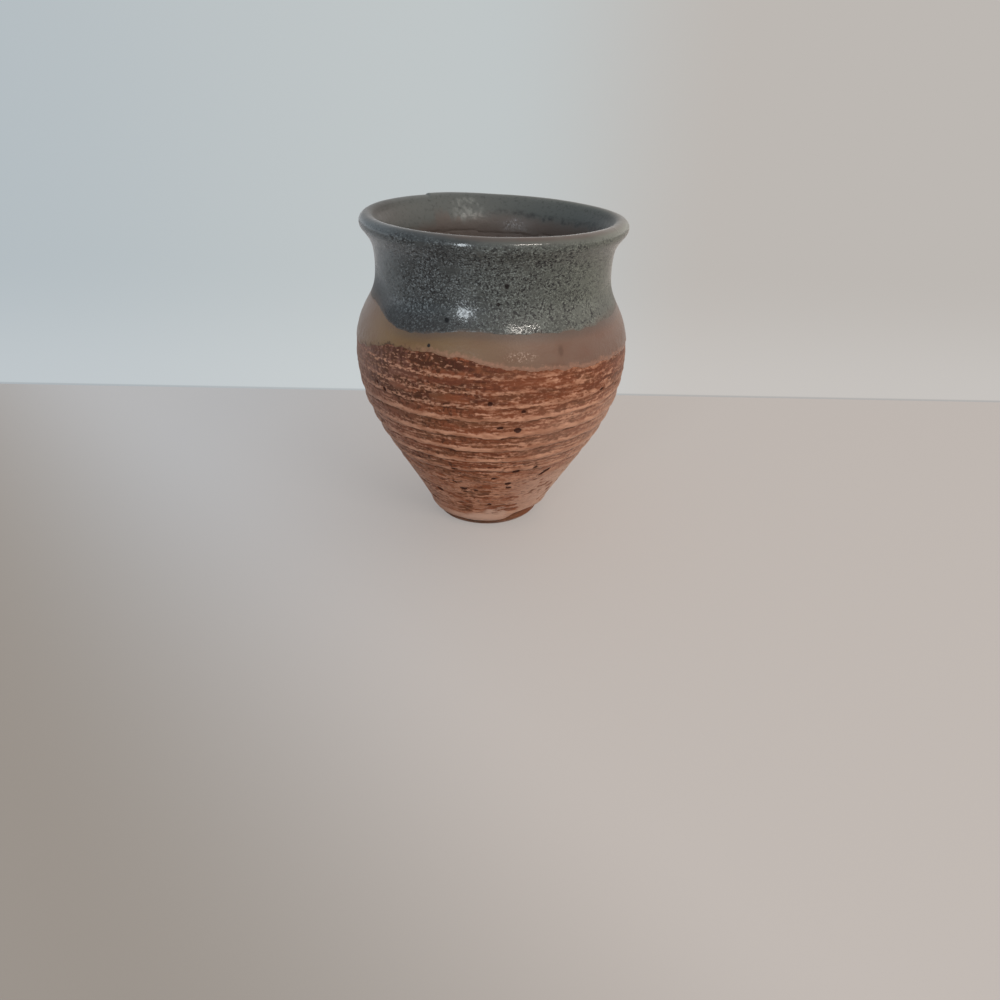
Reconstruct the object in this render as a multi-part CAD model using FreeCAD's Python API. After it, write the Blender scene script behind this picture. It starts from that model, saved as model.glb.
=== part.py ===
import FreeCAD, Part
import math
import os

Vector = FreeCAD.Vector

# A drinking cup without handles, thrown on the wheel in iron-bearing stoneware, with
# glaze coats left where the cup was dipped. Sizes are in millimetres. Z points up, and
# the origin is the middle of the face that the cup rests on. Heights on the wall are
# taken at the middle of its thickness.

# The thrown wall of clay
clay_height = 94.6
lip_diameter = 77.0
neck_diameter = 69.0
neck_height = 81.5
belly_diameter = 82.9
belly_height = 56.5
wall_thickness = 3.9

# Where the wall bends between its named rings: (share of the way up, share of the way
# out) from the lower ring to the upper one
root_to_belly_shares = [(0.30, 0.41), (0.56, 0.74), (0.80, 0.95)]
belly_to_neck_shares = [(0.40, 0.355), (0.66, 0.85)]
neck_to_lip_shares = [(0.62, 0.28)]

# The short foot, cut off the wheel with a wire, and the crease under the wall
foot_diameter = 32.6
foot_height = 2.9
foot_flare = 1.9
foot_bevel = 0.5
crease_depth = 0.5
crease_width = 0.6
root_overhang = 1.1

# The floor of the hollow
floor_thickness = 6.4
floor_diameter = 21.0
floor_round_height = 3.0

# The throwing ridges. Each turn of the wheel left a groove as the fingers rose, and the
# clay between two grooves stands up as a crest.
first_ridge_height = 28.9
ridge_pitch = 4.5
ridge_height = 0.45
groove_share = 0.6

# The glaze coats and the lines that they were dipped to. The lower dip line slopes,
# because the cup was held at a tilt, and falls towards +X.
neck_coat = 0.40
shoulder_coat = 0.28
liner_coat = 0.35
neck_dip_height = 68.5
shoulder_band_width = 6.9
dip_line_fall = 4.5
turnover_depth = 9.0

# The curved outline is drawn in chords of about these lengths
outside_chord = 5.0
inside_chord = 8.0
lip_chords = 4
floor_round_chords = 2

halvings = 40
full_turn = 360
axis = Vector(0, 0, 1)
origin = Vector(0, 0, 0)

half_wall = wall_thickness / 2
foot_radius = foot_diameter / 2
foot_top_radius = foot_radius + foot_flare


def ring(diameter, height):
    """Place of the wall's middle line where the clay has this outer diameter."""
    return Vector(diameter / 2 - half_wall, 0, height)


def bends(lower, upper, shares):
    """Places of the wall's middle line between two named rings."""
    step = upper - lower
    return [lower + Vector(out * step.x, 0, up * step.z) for up, out in shares]


def wall_middle():
    """Smooth line up the middle of the wall, from its root on the foot to the lip."""
    root = Vector(foot_top_radius + root_overhang - half_wall, 0, foot_height + crease_width + half_wall)
    belly = ring(belly_diameter, belly_height)
    neck = ring(neck_diameter, neck_height)
    lip = ring(lip_diameter, clay_height - half_wall)
    line = Part.BSplineCurve()
    line.interpolate(
        [root]
        + bends(root, belly, root_to_belly_shares)
        + [belly]
        + bends(belly, neck, belly_to_neck_shares)
        + [neck]
        + bends(neck, lip, neck_to_lip_shares)
        + [lip]
    )
    return line


middle = wall_middle()
root_height = middle.StartPoint.z
lip_centre = middle.EndPoint

# Heights at which one stretch of the wall gives way to the next
shoulder_edge_height = neck_dip_height - shoulder_band_width
lowest_edge_height = shoulder_edge_height - dip_line_fall / 2
turns_below_edge = (lowest_edge_height - first_ridge_height) / ridge_pitch
groove_count = math.floor(turns_below_edge + 1 - groove_share)
last_groove_height = first_ridge_height + (groove_count - 1 + groove_share) * ridge_pitch
turnover_height = lip_centre.z - turnover_depth
hollow_foot_height = floor_thickness + floor_round_height


def place_at(height):
    """Point of the middle line at a height, and the direction out of the wall there."""
    low, high = middle.FirstParameter, middle.LastParameter
    for _ in range(halvings):
        half_way = (low + high) / 2
        if middle.value(half_way).z < height:
            low = half_way
        else:
            high = half_way
    along = middle.tangent(low)[0]
    return middle.value(low), Vector(along.z, 0, -along.x)


def heights(low, high, chord):
    """Evenly spaced heights from low to high, both included."""
    steps = math.ceil((high - low) / chord)
    return [low + (high - low) * step / steps for step in range(steps + 1)]


def outer_face(stations, coat):
    """Points up the outer face of the wall, under a coat of this thickness."""
    places = [place_at(height) for height in stations]
    return [point + out * (half_wall + coat) for point, out in places]


def inner_face(stations, coat):
    """Points down the inner face of the wall, under a coat of this thickness."""
    places = [place_at(height) for height in reversed(stations)]
    return [point - out * (half_wall + coat) for point, out in places]


bare_heights = heights(root_height, first_ridge_height - groove_share * ridge_pitch, outside_chord)
shoulder_heights = heights(last_groove_height, neck_dip_height, outside_chord)
neck_heights = heights(neck_dip_height, lip_centre.z, outside_chord)
turnover_heights = heights(turnover_height, lip_centre.z, inside_chord)
hollow_heights = heights(hollow_foot_height, turnover_height, inside_chord)


def foot_face():
    """Points of the resting face, the bevel, the flared side and the crease above it."""
    root = outer_face([root_height], 0)[0]
    return [
        origin,
        Vector(foot_radius - foot_bevel, 0, 0),
        Vector(foot_radius, 0, foot_bevel),
        Vector(foot_top_radius, 0, foot_height),
        Vector(foot_top_radius - crease_depth, 0, (foot_height + root.z) / 2),
    ]


def ridged_face():
    """Points over the throwing ridges, each a crest with the groove above it."""
    points = []
    for turn in range(groove_count):
        crest = first_ridge_height + turn * ridge_pitch
        points += outer_face([crest], ridge_height)
        points += outer_face([crest + groove_share * ridge_pitch], 0)
    return points


def lip_round(coat):
    """Points over the rounded lip, between the outer and the inner face."""
    out = place_at(lip_centre.z)[1]
    start = math.atan2(out.z, out.x)
    angles = [start + math.pi * step / lip_chords for step in range(1, lip_chords)]
    return [lip_centre + Vector(math.cos(a), 0, math.sin(a)) * (half_wall + coat) for a in angles]


def floor_face(coat):
    """Points round the corner of the hollow and along its flat floor to the middle."""
    level = floor_thickness + coat
    wall_end = inner_face([hollow_foot_height], coat)[0]
    out = place_at(hollow_foot_height)[1]
    corner = Vector(wall_end.x + (wall_end.z - level) * out.z / out.x, 0, level)
    curve = Part.BezierCurve()
    curve.setPoles([wall_end, corner, Vector(floor_diameter / 2, 0, level)])
    bend = [curve.value(step / floor_round_chords) for step in range(1, floor_round_chords + 1)]
    return bend + [Vector(0, 0, level)]


def turned(points):
    """Solid of revolution inside a closed outline."""
    return Part.Face(Part.makePolygon(points + points[:1])).revolve(origin, axis, full_turn)


def layer(face, coat):
    """Coat of even thickness on a face of the clay."""
    return turned(face(0) + face(coat)[::-1])


def clay_body():
    """The thrown clay: foot, ridged wall, rounded lip and hollow."""
    outside = foot_face() + outer_face(bare_heights, 0) + ridged_face()
    outside += outer_face(shoulder_heights[1:] + neck_heights[1:], 0)
    inside = inner_face(hollow_heights + turnover_heights[1:], 0)
    return turned(outside + lip_round(0) + inside + floor_face(0))


def neck_glaze():
    """Second dip: from the upper dip line, over the lip and a little way inside."""

    def face(coat):
        return outer_face(neck_heights, coat) + lip_round(coat) + inner_face(turnover_heights, coat)

    return layer(face, neck_coat)


def shoulder_glaze():
    """First dip, which shows as a band between the two dip lines."""
    sleeve = layer(lambda coat: outer_face(shoulder_heights, coat), shoulder_coat)
    undipped = Part.makeCylinder(belly_diameter, belly_diameter, origin - axis * belly_diameter)
    undipped.rotate(origin, Vector(0, 1, 0), math.degrees(math.atan2(dip_line_fall, belly_diameter)))
    undipped.translate(axis * shoulder_edge_height)
    return sleeve.cut(undipped)


def liner_glaze():
    """Coat poured into the hollow, up to the edge of the second dip."""

    def face(coat):
        return inner_face(hollow_heights, coat) + floor_face(coat)

    return layer(face, liner_coat)


parts = {
    "clay_body": clay_body(),
    "neck_glaze": neck_glaze(),
    "shoulder_glaze": shoulder_glaze(),
    "liner_glaze": liner_glaze(),
}

os.makedirs("parts", exist_ok=True)
for name, shape in parts.items():
    shape.exportStep(f"parts/{name}.step")
    print(name, len(shape.Solids), "solid", round(shape.Volume), "mm3", shape.isValid())
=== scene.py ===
"""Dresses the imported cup: ridged clay, two dipped glazes and a poured liner.

Sizes are in millimetres as drawn and angles in degrees from the front of the cup, positive
towards +X. MM turns them into metres, and follows the frame if the cup is made larger.
"""

import logging
import math
from dataclasses import dataclass, replace
from enum import Enum

import bpy
import numpy as np
from mathutils import Matrix, Vector


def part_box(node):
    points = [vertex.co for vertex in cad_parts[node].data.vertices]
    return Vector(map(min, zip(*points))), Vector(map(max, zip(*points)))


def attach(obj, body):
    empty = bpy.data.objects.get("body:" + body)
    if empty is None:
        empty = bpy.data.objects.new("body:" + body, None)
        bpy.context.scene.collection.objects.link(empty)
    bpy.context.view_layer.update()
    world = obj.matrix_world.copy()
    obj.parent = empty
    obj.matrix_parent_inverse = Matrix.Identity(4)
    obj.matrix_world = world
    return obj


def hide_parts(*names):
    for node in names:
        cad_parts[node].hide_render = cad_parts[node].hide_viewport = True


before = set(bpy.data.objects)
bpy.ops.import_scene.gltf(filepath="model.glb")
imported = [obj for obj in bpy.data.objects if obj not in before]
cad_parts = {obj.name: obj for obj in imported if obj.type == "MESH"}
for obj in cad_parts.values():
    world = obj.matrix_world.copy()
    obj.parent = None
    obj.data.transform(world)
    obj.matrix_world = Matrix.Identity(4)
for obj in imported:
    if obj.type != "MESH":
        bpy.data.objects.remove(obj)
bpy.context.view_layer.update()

log = logging.getLogger("cup")
Array = np.ndarray
Socket = bpy.types.NodeSocket
Colour = tuple[float, float, float]
Place = tuple[float, float, float]
# Two ends: where something starts and where it is full, in either order, or a range
Span = tuple[float, float]
# Listed marks, each a place and its value
Marks = tuple[tuple[float, float], ...]

CLAY_HEIGHT = 94.6
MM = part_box("clay_body")[1].z / CLAY_HEIGHT
FULL_TURN = 360
# Keeps a division by the distance from the axis safe
TINY = 1e-6


def tone(red: int, green: int, blue: int) -> Colour:
    """Linear colour of a display colour with channels from 0 to 255, by the sRGB curve."""
    shares = [channel / 255 for channel in (red, green, blue)]
    return tuple(s / 12.92 if s <= 0.04045 else ((s + 0.055) / 1.055) ** 2.4 for s in shares)


def ease(value: Array, low: float, high: float) -> Array:
    """Smooth rise from 0 at low to 1 at high, or a fall where high is the lower one."""
    share = np.clip((value - low) / (high - low), 0, 1)
    return share * share * (3 - 2 * share)


def graded(value: Array, marks: Marks) -> Array:
    """Straight grading between listed marks, each a place and its value."""
    return np.interp(value, *zip(*marks))


def turns(columns: int) -> Array:
    """Angles of a piece's columns, from the back and once round."""
    return np.arange(columns) * FULL_TURN / columns - FULL_TURN / 2


def wrapped(phase: Array) -> Array:
    """Part of a turn that is nearest to none, from -0.5 to 0.5."""
    return (phase + 0.5) % 1 - 0.5


def added(name: str, data: bpy.types.ID) -> bpy.types.Object:
    """New object in the scene.

    Args:
        name: Its name.
        data: Its mesh, lamp or camera.

    Returns:
        The object.
    """
    made = bpy.data.objects.new(name, data)
    bpy.context.scene.collection.objects.link(made)
    return made


def smooth_line(points: Array, samples: int) -> Array:
    """Natural cubic curve through points.

    Args:
        points: Rows of coordinates, in order along the curve.
        samples: Number of places wanted, evenly spaced along the chords.

    Returns:
        Rows of coordinates along the curve.
    """
    knots = np.r_[0, np.cumsum(np.linalg.norm(np.diff(points, axis=0), axis=1))]
    gaps = np.diff(knots)
    system = np.eye(len(points))
    target = np.zeros_like(points)
    for i in range(1, len(points) - 1):
        system[i, i - 1 : i + 2] = gaps[i - 1], 2 * (gaps[i - 1] + gaps[i]), gaps[i]
        target[i] = 6 * ((points[i + 1] - points[i]) / gaps[i] - (points[i] - points[i - 1]) / gaps[i - 1])
    bend = np.linalg.solve(system, target)
    along = np.linspace(0, knots[-1], samples)
    i = np.clip(np.searchsorted(knots, along, side="right") - 1, 0, len(points) - 2)
    before = ((knots[i + 1] - along) / gaps[i])[:, None]
    after = 1 - before
    sag = (before**3 - before) * bend[i] + (after**3 - after) * bend[i + 1]
    return before * points[i] + after * points[i + 1] + sag * (gaps[i] ** 2)[:, None] / 6


@dataclass(frozen=True)
class Belt:
    """A value that changes round the cup, eased between given marks at their angles."""

    marks: Marks
    blur: float = 7
    steps: int = 9

    def at(self, turn: Array) -> Array:
        """Value round the cup.

        Args:
            turn: The angles wanted.

        Returns:
            One value for each angle.
        """
        shifts = np.linspace(-self.blur, self.blur, self.steps)
        values = [np.interp(turn + shift, *zip(*self.marks), period=FULL_TURN) for shift in shifts]
        return np.mean(values, axis=0)


@dataclass(frozen=True)
class Grain:
    """Seeded smooth noise in space, from about -1 to 1.

    across and up are the size of a grain. Each further octave has grains of half the size
    and strength.
    """

    seed: int
    across: float
    up: float
    octaves: int = 1
    lattice: int = 64
    octave_shift: float = 7.3

    def at(self, points: Array) -> Array:
        """Noise at points.

        Args:
            points: Places, with coordinates in the last axis.

        Returns:
            One value for each point.
        """
        values = np.random.default_rng(self.seed).uniform(-1, 1, (self.lattice,) * 3)
        total = np.zeros(points.shape[:-1])
        strength = 1.0
        for octave in range(self.octaves):
            place = points / (self.across, self.across, self.up) * 2**octave
            place = place + self.seed + self.octave_shift * octave
            corner = np.floor(place).astype(int)
            part = place - corner
            part = part * part * (3 - 2 * part)
            layer = np.zeros_like(total)
            for step in np.ndindex(2, 2, 2):
                weight = np.prod(np.where(step, part, 1 - part), axis=-1)
                x, y, z = np.moveaxis((corner + step) % self.lattice, -1, 0)
                layer += weight * values[x, y, z]
            total += strength * layer
            strength /= 2
        return total


@dataclass(frozen=True)
class Spot:
    """Round dark spot on the outside of a coat."""

    turn: float
    height: float
    radius: float


@dataclass(frozen=True)
class Mark:
    """Pit, smear or patch at a place on the wall, with its length along its lean."""

    turn: float
    height: float
    length: float
    width: float
    lean: float = 0
    edge: Span = (1.15, 0.6)

    def cover(self, turn: Array, height: Array, radius: Array) -> Array:
        """How much of the mark lies at each place.

        Args:
            turn: Angle of each place.
            height: Height of each place.
            radius: Distance of each place from the axis.

        Returns:
            Values from 0 to 1.
        """
        across = np.radians((turn - self.turn + FULL_TURN / 2) % FULL_TURN - FULL_TURN / 2) * radius
        up = height - self.height
        cos, sin = math.cos(math.radians(self.lean)), math.sin(math.radians(self.lean))
        far = np.hypot((across * cos + up * sin) / self.length, (up * cos - across * sin) / self.width)
        return ease(far, *self.edge)


@dataclass(frozen=True)
class Surface:
    """Where the points of a piece lie before their relief.

    turn has one angle for each column, and height and radius have a value for each point.
    """

    turn: Array
    height: Array
    radius: Array
    points: Array

    def cover(self, *marks: Mark) -> Array:
        """How much of any of the marks lies at each point. Rows out of a mark's reach are left out.

        Args:
            marks: The marks.

        Returns:
            Values from 0 to 1, by row and angle.
        """
        cover = np.zeros_like(self.height)
        for mark in marks:
            band = abs(self.height[:, 0] - mark.height) < mark.length + mark.width
            here = mark.cover(self.turn, self.height[band], self.radius[band])
            cover[band] = np.maximum(cover[band], here)
        return cover


@dataclass(frozen=True)
class Pot:
    """The thrown form that the clay and every coat share.

    A profile is an array of rows: radius, height, and the direction out of the surface.
    """

    # Radius and height of the middle of the wall
    rings: Marks = (
        (17.35, 5.45),
        (26.4, 20.8),
        (33.7, 34.0),
        (38.4, 46.3),
        (39.5, 56.5),
        (37.0, 66.5),
        (33.6, 73.0),
        (32.55, 81.5),
        (33.7, 88.4),
        (36.55, 92.65),
    )
    wall: float = 3.9
    floor: float = 6.4
    floor_radius: float = 10.5
    floor_round: float = 3.0
    samples: int = 800
    # Stretch of the outside on which a spot can lie
    spotted_span: Span = (6, 92)
    # Hands pushed the soft pot a little out of round
    wobble: float = 0.16
    swell: Grain = Grain(11, 34, 26)
    swell_span: Span = (4, 20)
    # They also pushed the foot in and out
    foot_push: Belt = Belt(((-160, 0), (-95, 0.1), (-45, 0.75), (-15, 0.2), (38, -0.45), (90, 0)), 10)
    foot_span: Span = (14, 0)
    # Distance from the axis over which any push starts
    push_span: Span = (4, 15)
    # The back of the lip falls towards +X
    lip_lean: float = 0.012
    lip_span: Span = (70, 95)
    back_span: Span = (-12, 30)
    # The nick is a sharp step up in the lip that fades away round it
    nick_turn: float = -142.0
    nick_step: float = 0.45
    nick_rise: Span = (0, 1.2)
    nick_fade: Span = (42, 8)
    nick_span: Span = (91, 95)

    @property
    def root(self) -> float:
        """Height of the wall's middle line where it starts on the foot."""
        return self.rings[0][1]

    @property
    def top(self) -> float:
        """Height of the middle of the lip."""
        return self.rings[-1][1]

    @property
    def hollow_foot(self) -> float:
        """Height at which the hollow starts to round into its floor."""
        return self.floor + self.floor_round

    def middle(self, heights: Array) -> Array:
        """Profile of the wall's middle line.

        Args:
            heights: The heights wanted.

        Returns:
            Profile with a row for each height.
        """
        line = smooth_line(np.array(self.rings), self.samples)
        along = np.gradient(line, axis=0)
        along /= np.linalg.norm(along, axis=1)[:, None]
        full = np.column_stack([line, along[:, 1], -along[:, 0]])
        return np.column_stack([np.interp(heights, full[:, 1], column) for column in full.T])

    def offset(self, profile: Array, distance: float) -> Array:
        """Profile moved out of its surface.

        Args:
            profile: The profile to move.
            distance: How far it moves.

        Returns:
            The moved profile, with the same directions.
        """
        moved = profile.copy()
        moved[:, :2] += distance * profile[:, 2:]
        return moved

    def outer(self, low: float, high: float, step: float) -> Array:
        """Profile up the outer face between two heights of the middle line."""
        heights = np.linspace(low, high, max(2, round((high - low) / step) + 1))
        return self.offset(self.middle(heights), self.wall / 2)

    def inner(self, low: float, high: float, step: float) -> Array:
        """Profile down the inner face, with its direction into the hollow.

        Args:
            low: Height of the middle line where it ends.
            high: Height of the middle line where it starts.
            step: Distance between rows, as near as an even division comes to it.

        Returns:
            The profile.
        """
        heights = np.linspace(high, low, max(2, round((high - low) / step) + 1))
        profile = self.middle(heights)
        profile[:, 2:] *= -1
        return self.offset(profile, self.wall / 2)

    def lip(self, steps: int) -> Array:
        """Profile over the round lip.

        Args:
            steps: Number of steps from the outer to the inner face.

        Returns:
            The profile without its two ends.
        """
        top = self.middle(np.array([self.top]))[0]
        start = math.atan2(top[3], top[2])
        angles = start + np.pi * np.arange(1, steps) / steps
        profile = np.column_stack([np.tile(top[:2], (len(angles), 1)), np.cos(angles), np.sin(angles)])
        return self.offset(profile, self.wall / 2)

    def bottom(self, steps: int) -> Array:
        """Profile round the corner of the hollow and along its floor.

        Args:
            steps: Number of steps round the corner.

        Returns:
            The profile, down to the middle of the floor.
        """
        end = self.inner(self.hollow_foot, self.hollow_foot + 1, 1)[-1]
        corner = np.array([end[0] + (end[1] - self.floor) * end[3] / end[2], self.floor])
        share = np.linspace(0, 1, steps + 1)[1:, None]
        flat = np.array([self.floor_radius, self.floor])
        bend = (1 - share) ** 2 * end[:2] + 2 * share * (1 - share) * corner + share**2 * flat
        out = (1 - share) * end[2:] + share * (0, 1)
        out /= np.linalg.norm(out, axis=1)[:, None]
        centre = np.array([[self.floor_radius / 2, self.floor, 0, 1], [0, self.floor, 0, 1]])
        return np.vstack([np.column_stack([bend, out]), centre])

    def placed(self, profile: Array, lift: Array, turn: Array) -> Array:
        """Points of a surface round the axis.

        Args:
            profile: Rows of radius, height and direction.
            lift: How far each point stands off the profile, by row and angle.
            turn: The angles.

        Returns:
            Points in millimetres, by row and angle.
        """
        radius = profile[:, :1] + profile[:, 2:3] * lift
        height = profile[:, 1:2] + profile[:, 3:] * lift
        angle = np.radians(turn)
        points = np.stack([radius * np.sin(angle), -radius * np.cos(angle), height + 0 * radius], axis=-1)
        return self.handled(points, turn)

    def handled(self, points: Array, turn: Array) -> Array:
        """Points after the soft pot was lifted: a little out of round, with an uneven lip.

        Args:
            points: Points of the true round form, by row and angle.
            turn: The angles.

        Returns:
            The moved points.
        """
        up = points[..., 2]
        swell = self.wobble * self.swell.at(points)
        foot = self.foot_push.at(turn)
        far = np.hypot(points[..., 0], points[..., 1]) + TINY
        push = swell * ease(up, *self.swell_span) + foot * ease(up, *self.foot_span)
        push = push * ease(far, *self.push_span) / far
        moved = points * (1 + push[..., None] * (1, 1, 0))
        past = (self.nick_turn - turn) % FULL_TURN
        nick = self.nick_step * ease(past, *self.nick_rise) * ease(past, *self.nick_fade)
        nick = nick * ease(up, *self.nick_span)
        fall = ease(up, *self.lip_span) * self.lip_lean * points[..., 0]
        moved[..., 2] += nick - fall * ease(points[..., 1], *self.back_span)
        return moved

    def surface(self, profile: Array, turn: Array) -> Surface:
        """Surface of a profile turned round the axis, without relief."""
        flat = np.zeros((len(profile), len(turn)))
        return Surface(turn, profile[:, 1:2] + flat, profile[:, :1] + flat, self.placed(profile, flat, turn))

    def centre(self, spot: Spot, coat: float) -> Place:
        """Place of a spot's centre.

        Args:
            spot: The spot.
            coat: Thickness of the coat that it lies on.

        Returns:
            Place in millimetres.
        """
        profile = self.outer(*self.spotted_span, 1)
        radius = np.interp(spot.height, profile[:, 1], profile[:, 0]) + coat
        angle = math.radians(spot.turn)
        return radius * math.sin(angle), -radius * math.cos(angle), spot.height


class Ends(Enum):
    """How a grid of points closes into a solid skin."""

    RING = "ring"
    POLES = "poles"


@dataclass(frozen=True)
class Skin:
    """A closed mesh on a grid of points, with values that its finish reads."""

    name: str
    points: Array
    ends: Ends
    values: dict[str, Array]

    def build(self) -> bpy.types.Object:
        """Smooth shaded mesh of the skin.

        Returns:
            The object, in the scene and in the frame's metres.
        """
        rows, columns = self.points.shape[:2]
        vertex = np.arange(rows * columns).reshape(rows, columns)
        if self.ends is Ends.RING:
            vertex = np.vstack([vertex, vertex[:1]])
        right = np.roll(vertex, -1, axis=1)
        quads = np.stack([vertex[:-1], right[:-1], right[1:], vertex[1:]], axis=-1).reshape(-1, 4)
        places = self.points.reshape(-1, 3)
        faces = quads.tolist()
        if self.ends is Ends.POLES:
            first, last = rows * columns, rows * columns + 1
            places = np.vstack([places, self.points[0].mean(axis=0), self.points[-1].mean(axis=0)])
            faces += [(first, b, a) for a, b in zip(vertex[0].tolist(), right[0].tolist())]
            faces += [(a, b, last) for a, b in zip(vertex[-1].tolist(), right[-1].tolist())]
        mesh = bpy.data.meshes.new(self.name)
        mesh.from_pydata((places * MM).tolist(), [], faces)
        for name, value in self.values.items():
            full = np.broadcast_to(value, (rows, columns)).ravel()
            # The two values at the end are for the poles, and a ring has none
            full = np.append(full, [full[0], full[-1]])[: len(places)]
            mesh.attributes.new(name, "FLOAT", "POINT").data.foreach_set("value", full.astype(np.float32))
        mesh.shade_smooth()
        mesh.validate()
        return added(self.name, mesh)


@dataclass(frozen=True)
class Noise:
    """Noise in a finish: the size of its grains across and up, its detail, and its own place."""

    across: float
    up: float
    detail: float = 2
    place: float = 0


@dataclass(frozen=True)
class Rise:
    """Smooth rise of a number: nothing at start, and top at full."""

    start: float
    full: float
    top: float = 1

    def back(self) -> "Rise":
        """The same rise the other way round."""
        return Rise(self.full, self.start, self.top)


# The ragged line inside at which the grey coat thins out over the liner
RUN_EDGE = Noise(2.2, 5, 3, 6)
RUN_REACH = 2.4
RUN_RISE = Rise(-0.8, 3.2)
# Edge of a dark spot, in shares of its radius
SPOT_EDGE: Span = (1.15, 0.7)
# Places of the colours among a mix node's sockets
MIX_FIRST, MIX_SECOND, MIX_RESULT = 6, 7, 2
GLAZE_IOR = 1.5
SHEEN_ROUGHNESS = 0.3


class Recipe:
    """Nodes of a material or of the world. Lengths in a material's coordinates are millimetres."""

    def __init__(self, owner: bpy.types.ID) -> None:
        """Starts an empty set of nodes with its coordinates.

        Args:
            owner: The material or world.
        """
        self.owner = owner
        owner.use_nodes = True
        self.nodes = owner.node_tree.nodes
        self.links = owner.node_tree.links
        self.nodes.clear()
        coordinates = self.node("ShaderNodeTexCoord").outputs
        self.direction = coordinates["Generated"]
        self.place = self.vector("DIVIDE", coordinates["Object"], (MM, MM, MM))

    def node(self, kind: str, **settings: object) -> bpy.types.Node:
        """New node.

        Args:
            kind: Blender's name for the kind of node.
            settings: Its settings by name.

        Returns:
            The node.
        """
        made = self.nodes.new(kind)
        for name, value in settings.items():
            setattr(made, name, value)
        return made

    def feed(self, socket: Socket, value: object) -> None:
        """Links a socket to another, or sets its own value.

        Args:
            socket: The input.
            value: Another socket, a colour, a vector or a number.
        """
        if isinstance(value, bpy.types.NodeSocket):
            self.links.new(value, socket)
        elif socket.type == "RGBA":
            socket.default_value = (*value, 1)
        else:
            socket.default_value = value

    def vector(self, operation: str, first: object, second: object) -> Socket:
        """Result of a sum on two vectors.

        Args:
            operation: Blender's name for the sum.
            first: First vector.
            second: Second vector.

        Returns:
            A vector, or a number where the sum is a distance.
        """
        made = self.node("ShaderNodeVectorMath", operation=operation)
        self.feed(made.inputs[0], first)
        self.feed(made.inputs[1], second)
        return made.outputs["Value" if operation == "DISTANCE" else "Vector"]

    def math(self, operation: str, first: object, second: object) -> Socket:
        """Result of a sum on two numbers.

        Args:
            operation: Blender's name for the sum.
            first: First number.
            second: Second number.

        Returns:
            The result.
        """
        made = self.node("ShaderNodeMath", operation=operation)
        self.feed(made.inputs[0], first)
        self.feed(made.inputs[1], second)
        return made.outputs[0]

    def plus(self, first: object, second: object) -> Socket:
        """Sum of two numbers."""
        return self.math("ADD", first, second)

    def minus(self, first: object, second: object) -> Socket:
        """Difference of two numbers."""
        return self.math("SUBTRACT", first, second)

    def times(self, first: object, second: object) -> Socket:
        """Product of two numbers."""
        return self.math("MULTIPLY", first, second)

    def rise(self, value: Socket, rise: Rise) -> Socket:
        """Smooth rise of a value.

        Args:
            value: The value.
            rise: Where it rises.

        Returns:
            The risen value.
        """
        made = self.node("ShaderNodeMapRange", interpolation_type="SMOOTHSTEP")
        self.feed(made.inputs["Value"], value)
        self.feed(made.inputs["From Min"], rise.start)
        self.feed(made.inputs["From Max"], rise.full)
        self.feed(made.inputs["To Max"], rise.top)
        return made.outputs["Result"]

    def mix(self, share: object, first: object, second: object) -> Socket:
        """Blend of two colours.

        Args:
            share: Share of the second colour.
            first: First colour.
            second: Second colour.

        Returns:
            The blended colour.
        """
        made = self.node("ShaderNodeMix", data_type="RGBA", blend_type="MIX")
        self.feed(made.inputs["Factor"], share)
        self.feed(made.inputs[MIX_FIRST], first)
        self.feed(made.inputs[MIX_SECOND], second)
        return made.outputs[MIX_RESULT]

    def layered(self, colour: object, *layers: tuple[object, object]) -> Socket:
        """Colour with others laid over it.

        Args:
            colour: The colour underneath.
            layers: The others in order, each with its share before it.

        Returns:
            The colour on top.
        """
        for share, over in layers:
            colour = self.mix(share, colour, over)
        return colour

    def value(self, name: str) -> Socket:
        """Value that the mesh carries at each point."""
        return self.node("ShaderNodeAttribute", attribute_name=name).outputs["Fac"]

    def noise(self, noise: Noise) -> Socket:
        """Noise over the piece.

        Args:
            noise: Its sizes.

        Returns:
            A value from 0 to 1.
        """
        stretch = (1 / noise.across, 1 / noise.across, 1 / noise.up)
        stretched = self.vector("MULTIPLY", self.place, stretch)
        made = self.node("ShaderNodeTexNoise")
        self.feed(made.inputs["Vector"], self.vector("ADD", stretched, (noise.place,) * 3))
        self.feed(made.inputs["Scale"], 1)
        self.feed(made.inputs["Detail"], noise.detail)
        return made.outputs["Fac"]

    def patches(self, noise: Noise, rise: Rise) -> Socket:
        """Soft-edged patches, where a noise rises."""
        return self.rise(self.noise(noise), rise)

    def run(self) -> Socket:
        """Height over the ragged line at which the grey coat thins out over the liner."""
        return self.plus(self.value("run"), self.times(self.noise(RUN_EDGE), RUN_REACH))

    def spotted(self, colour: Socket, spots: dict[Place, float], wander: Socket, dark: Colour) -> Socket:
        """Colour with round spots on it.

        Args:
            colour: The colour underneath.
            spots: Centre and radius of each spot.
            wander: How far the spots' edges stray.
            dark: Colour of the spots.

        Returns:
            The colour with the spots.
        """
        for centre, radius in spots.items():
            far = self.plus(self.vector("DISTANCE", self.place, centre), wander)
            outer, inner = (radius * share for share in SPOT_EDGE)
            colour = self.mix(self.rise(far, Rise(outer, inner)), colour, dark)
        return colour

    def bump(self, height: Socket, depth: float, below: Socket | None = None) -> Socket:
        """Fine relief.

        Args:
            height: Height of the relief, from 0 to 1.
            depth: Depth of the relief.
            below: Relief that it lies on, if any.

        Returns:
            Direction out of the relief.
        """
        made = self.node("ShaderNodeBump")
        self.feed(made.inputs["Distance"], depth * MM)
        self.feed(made.inputs["Height"], height)
        if below is not None:
            self.feed(made.inputs["Normal"], below)
        return made.outputs["Normal"]

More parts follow.
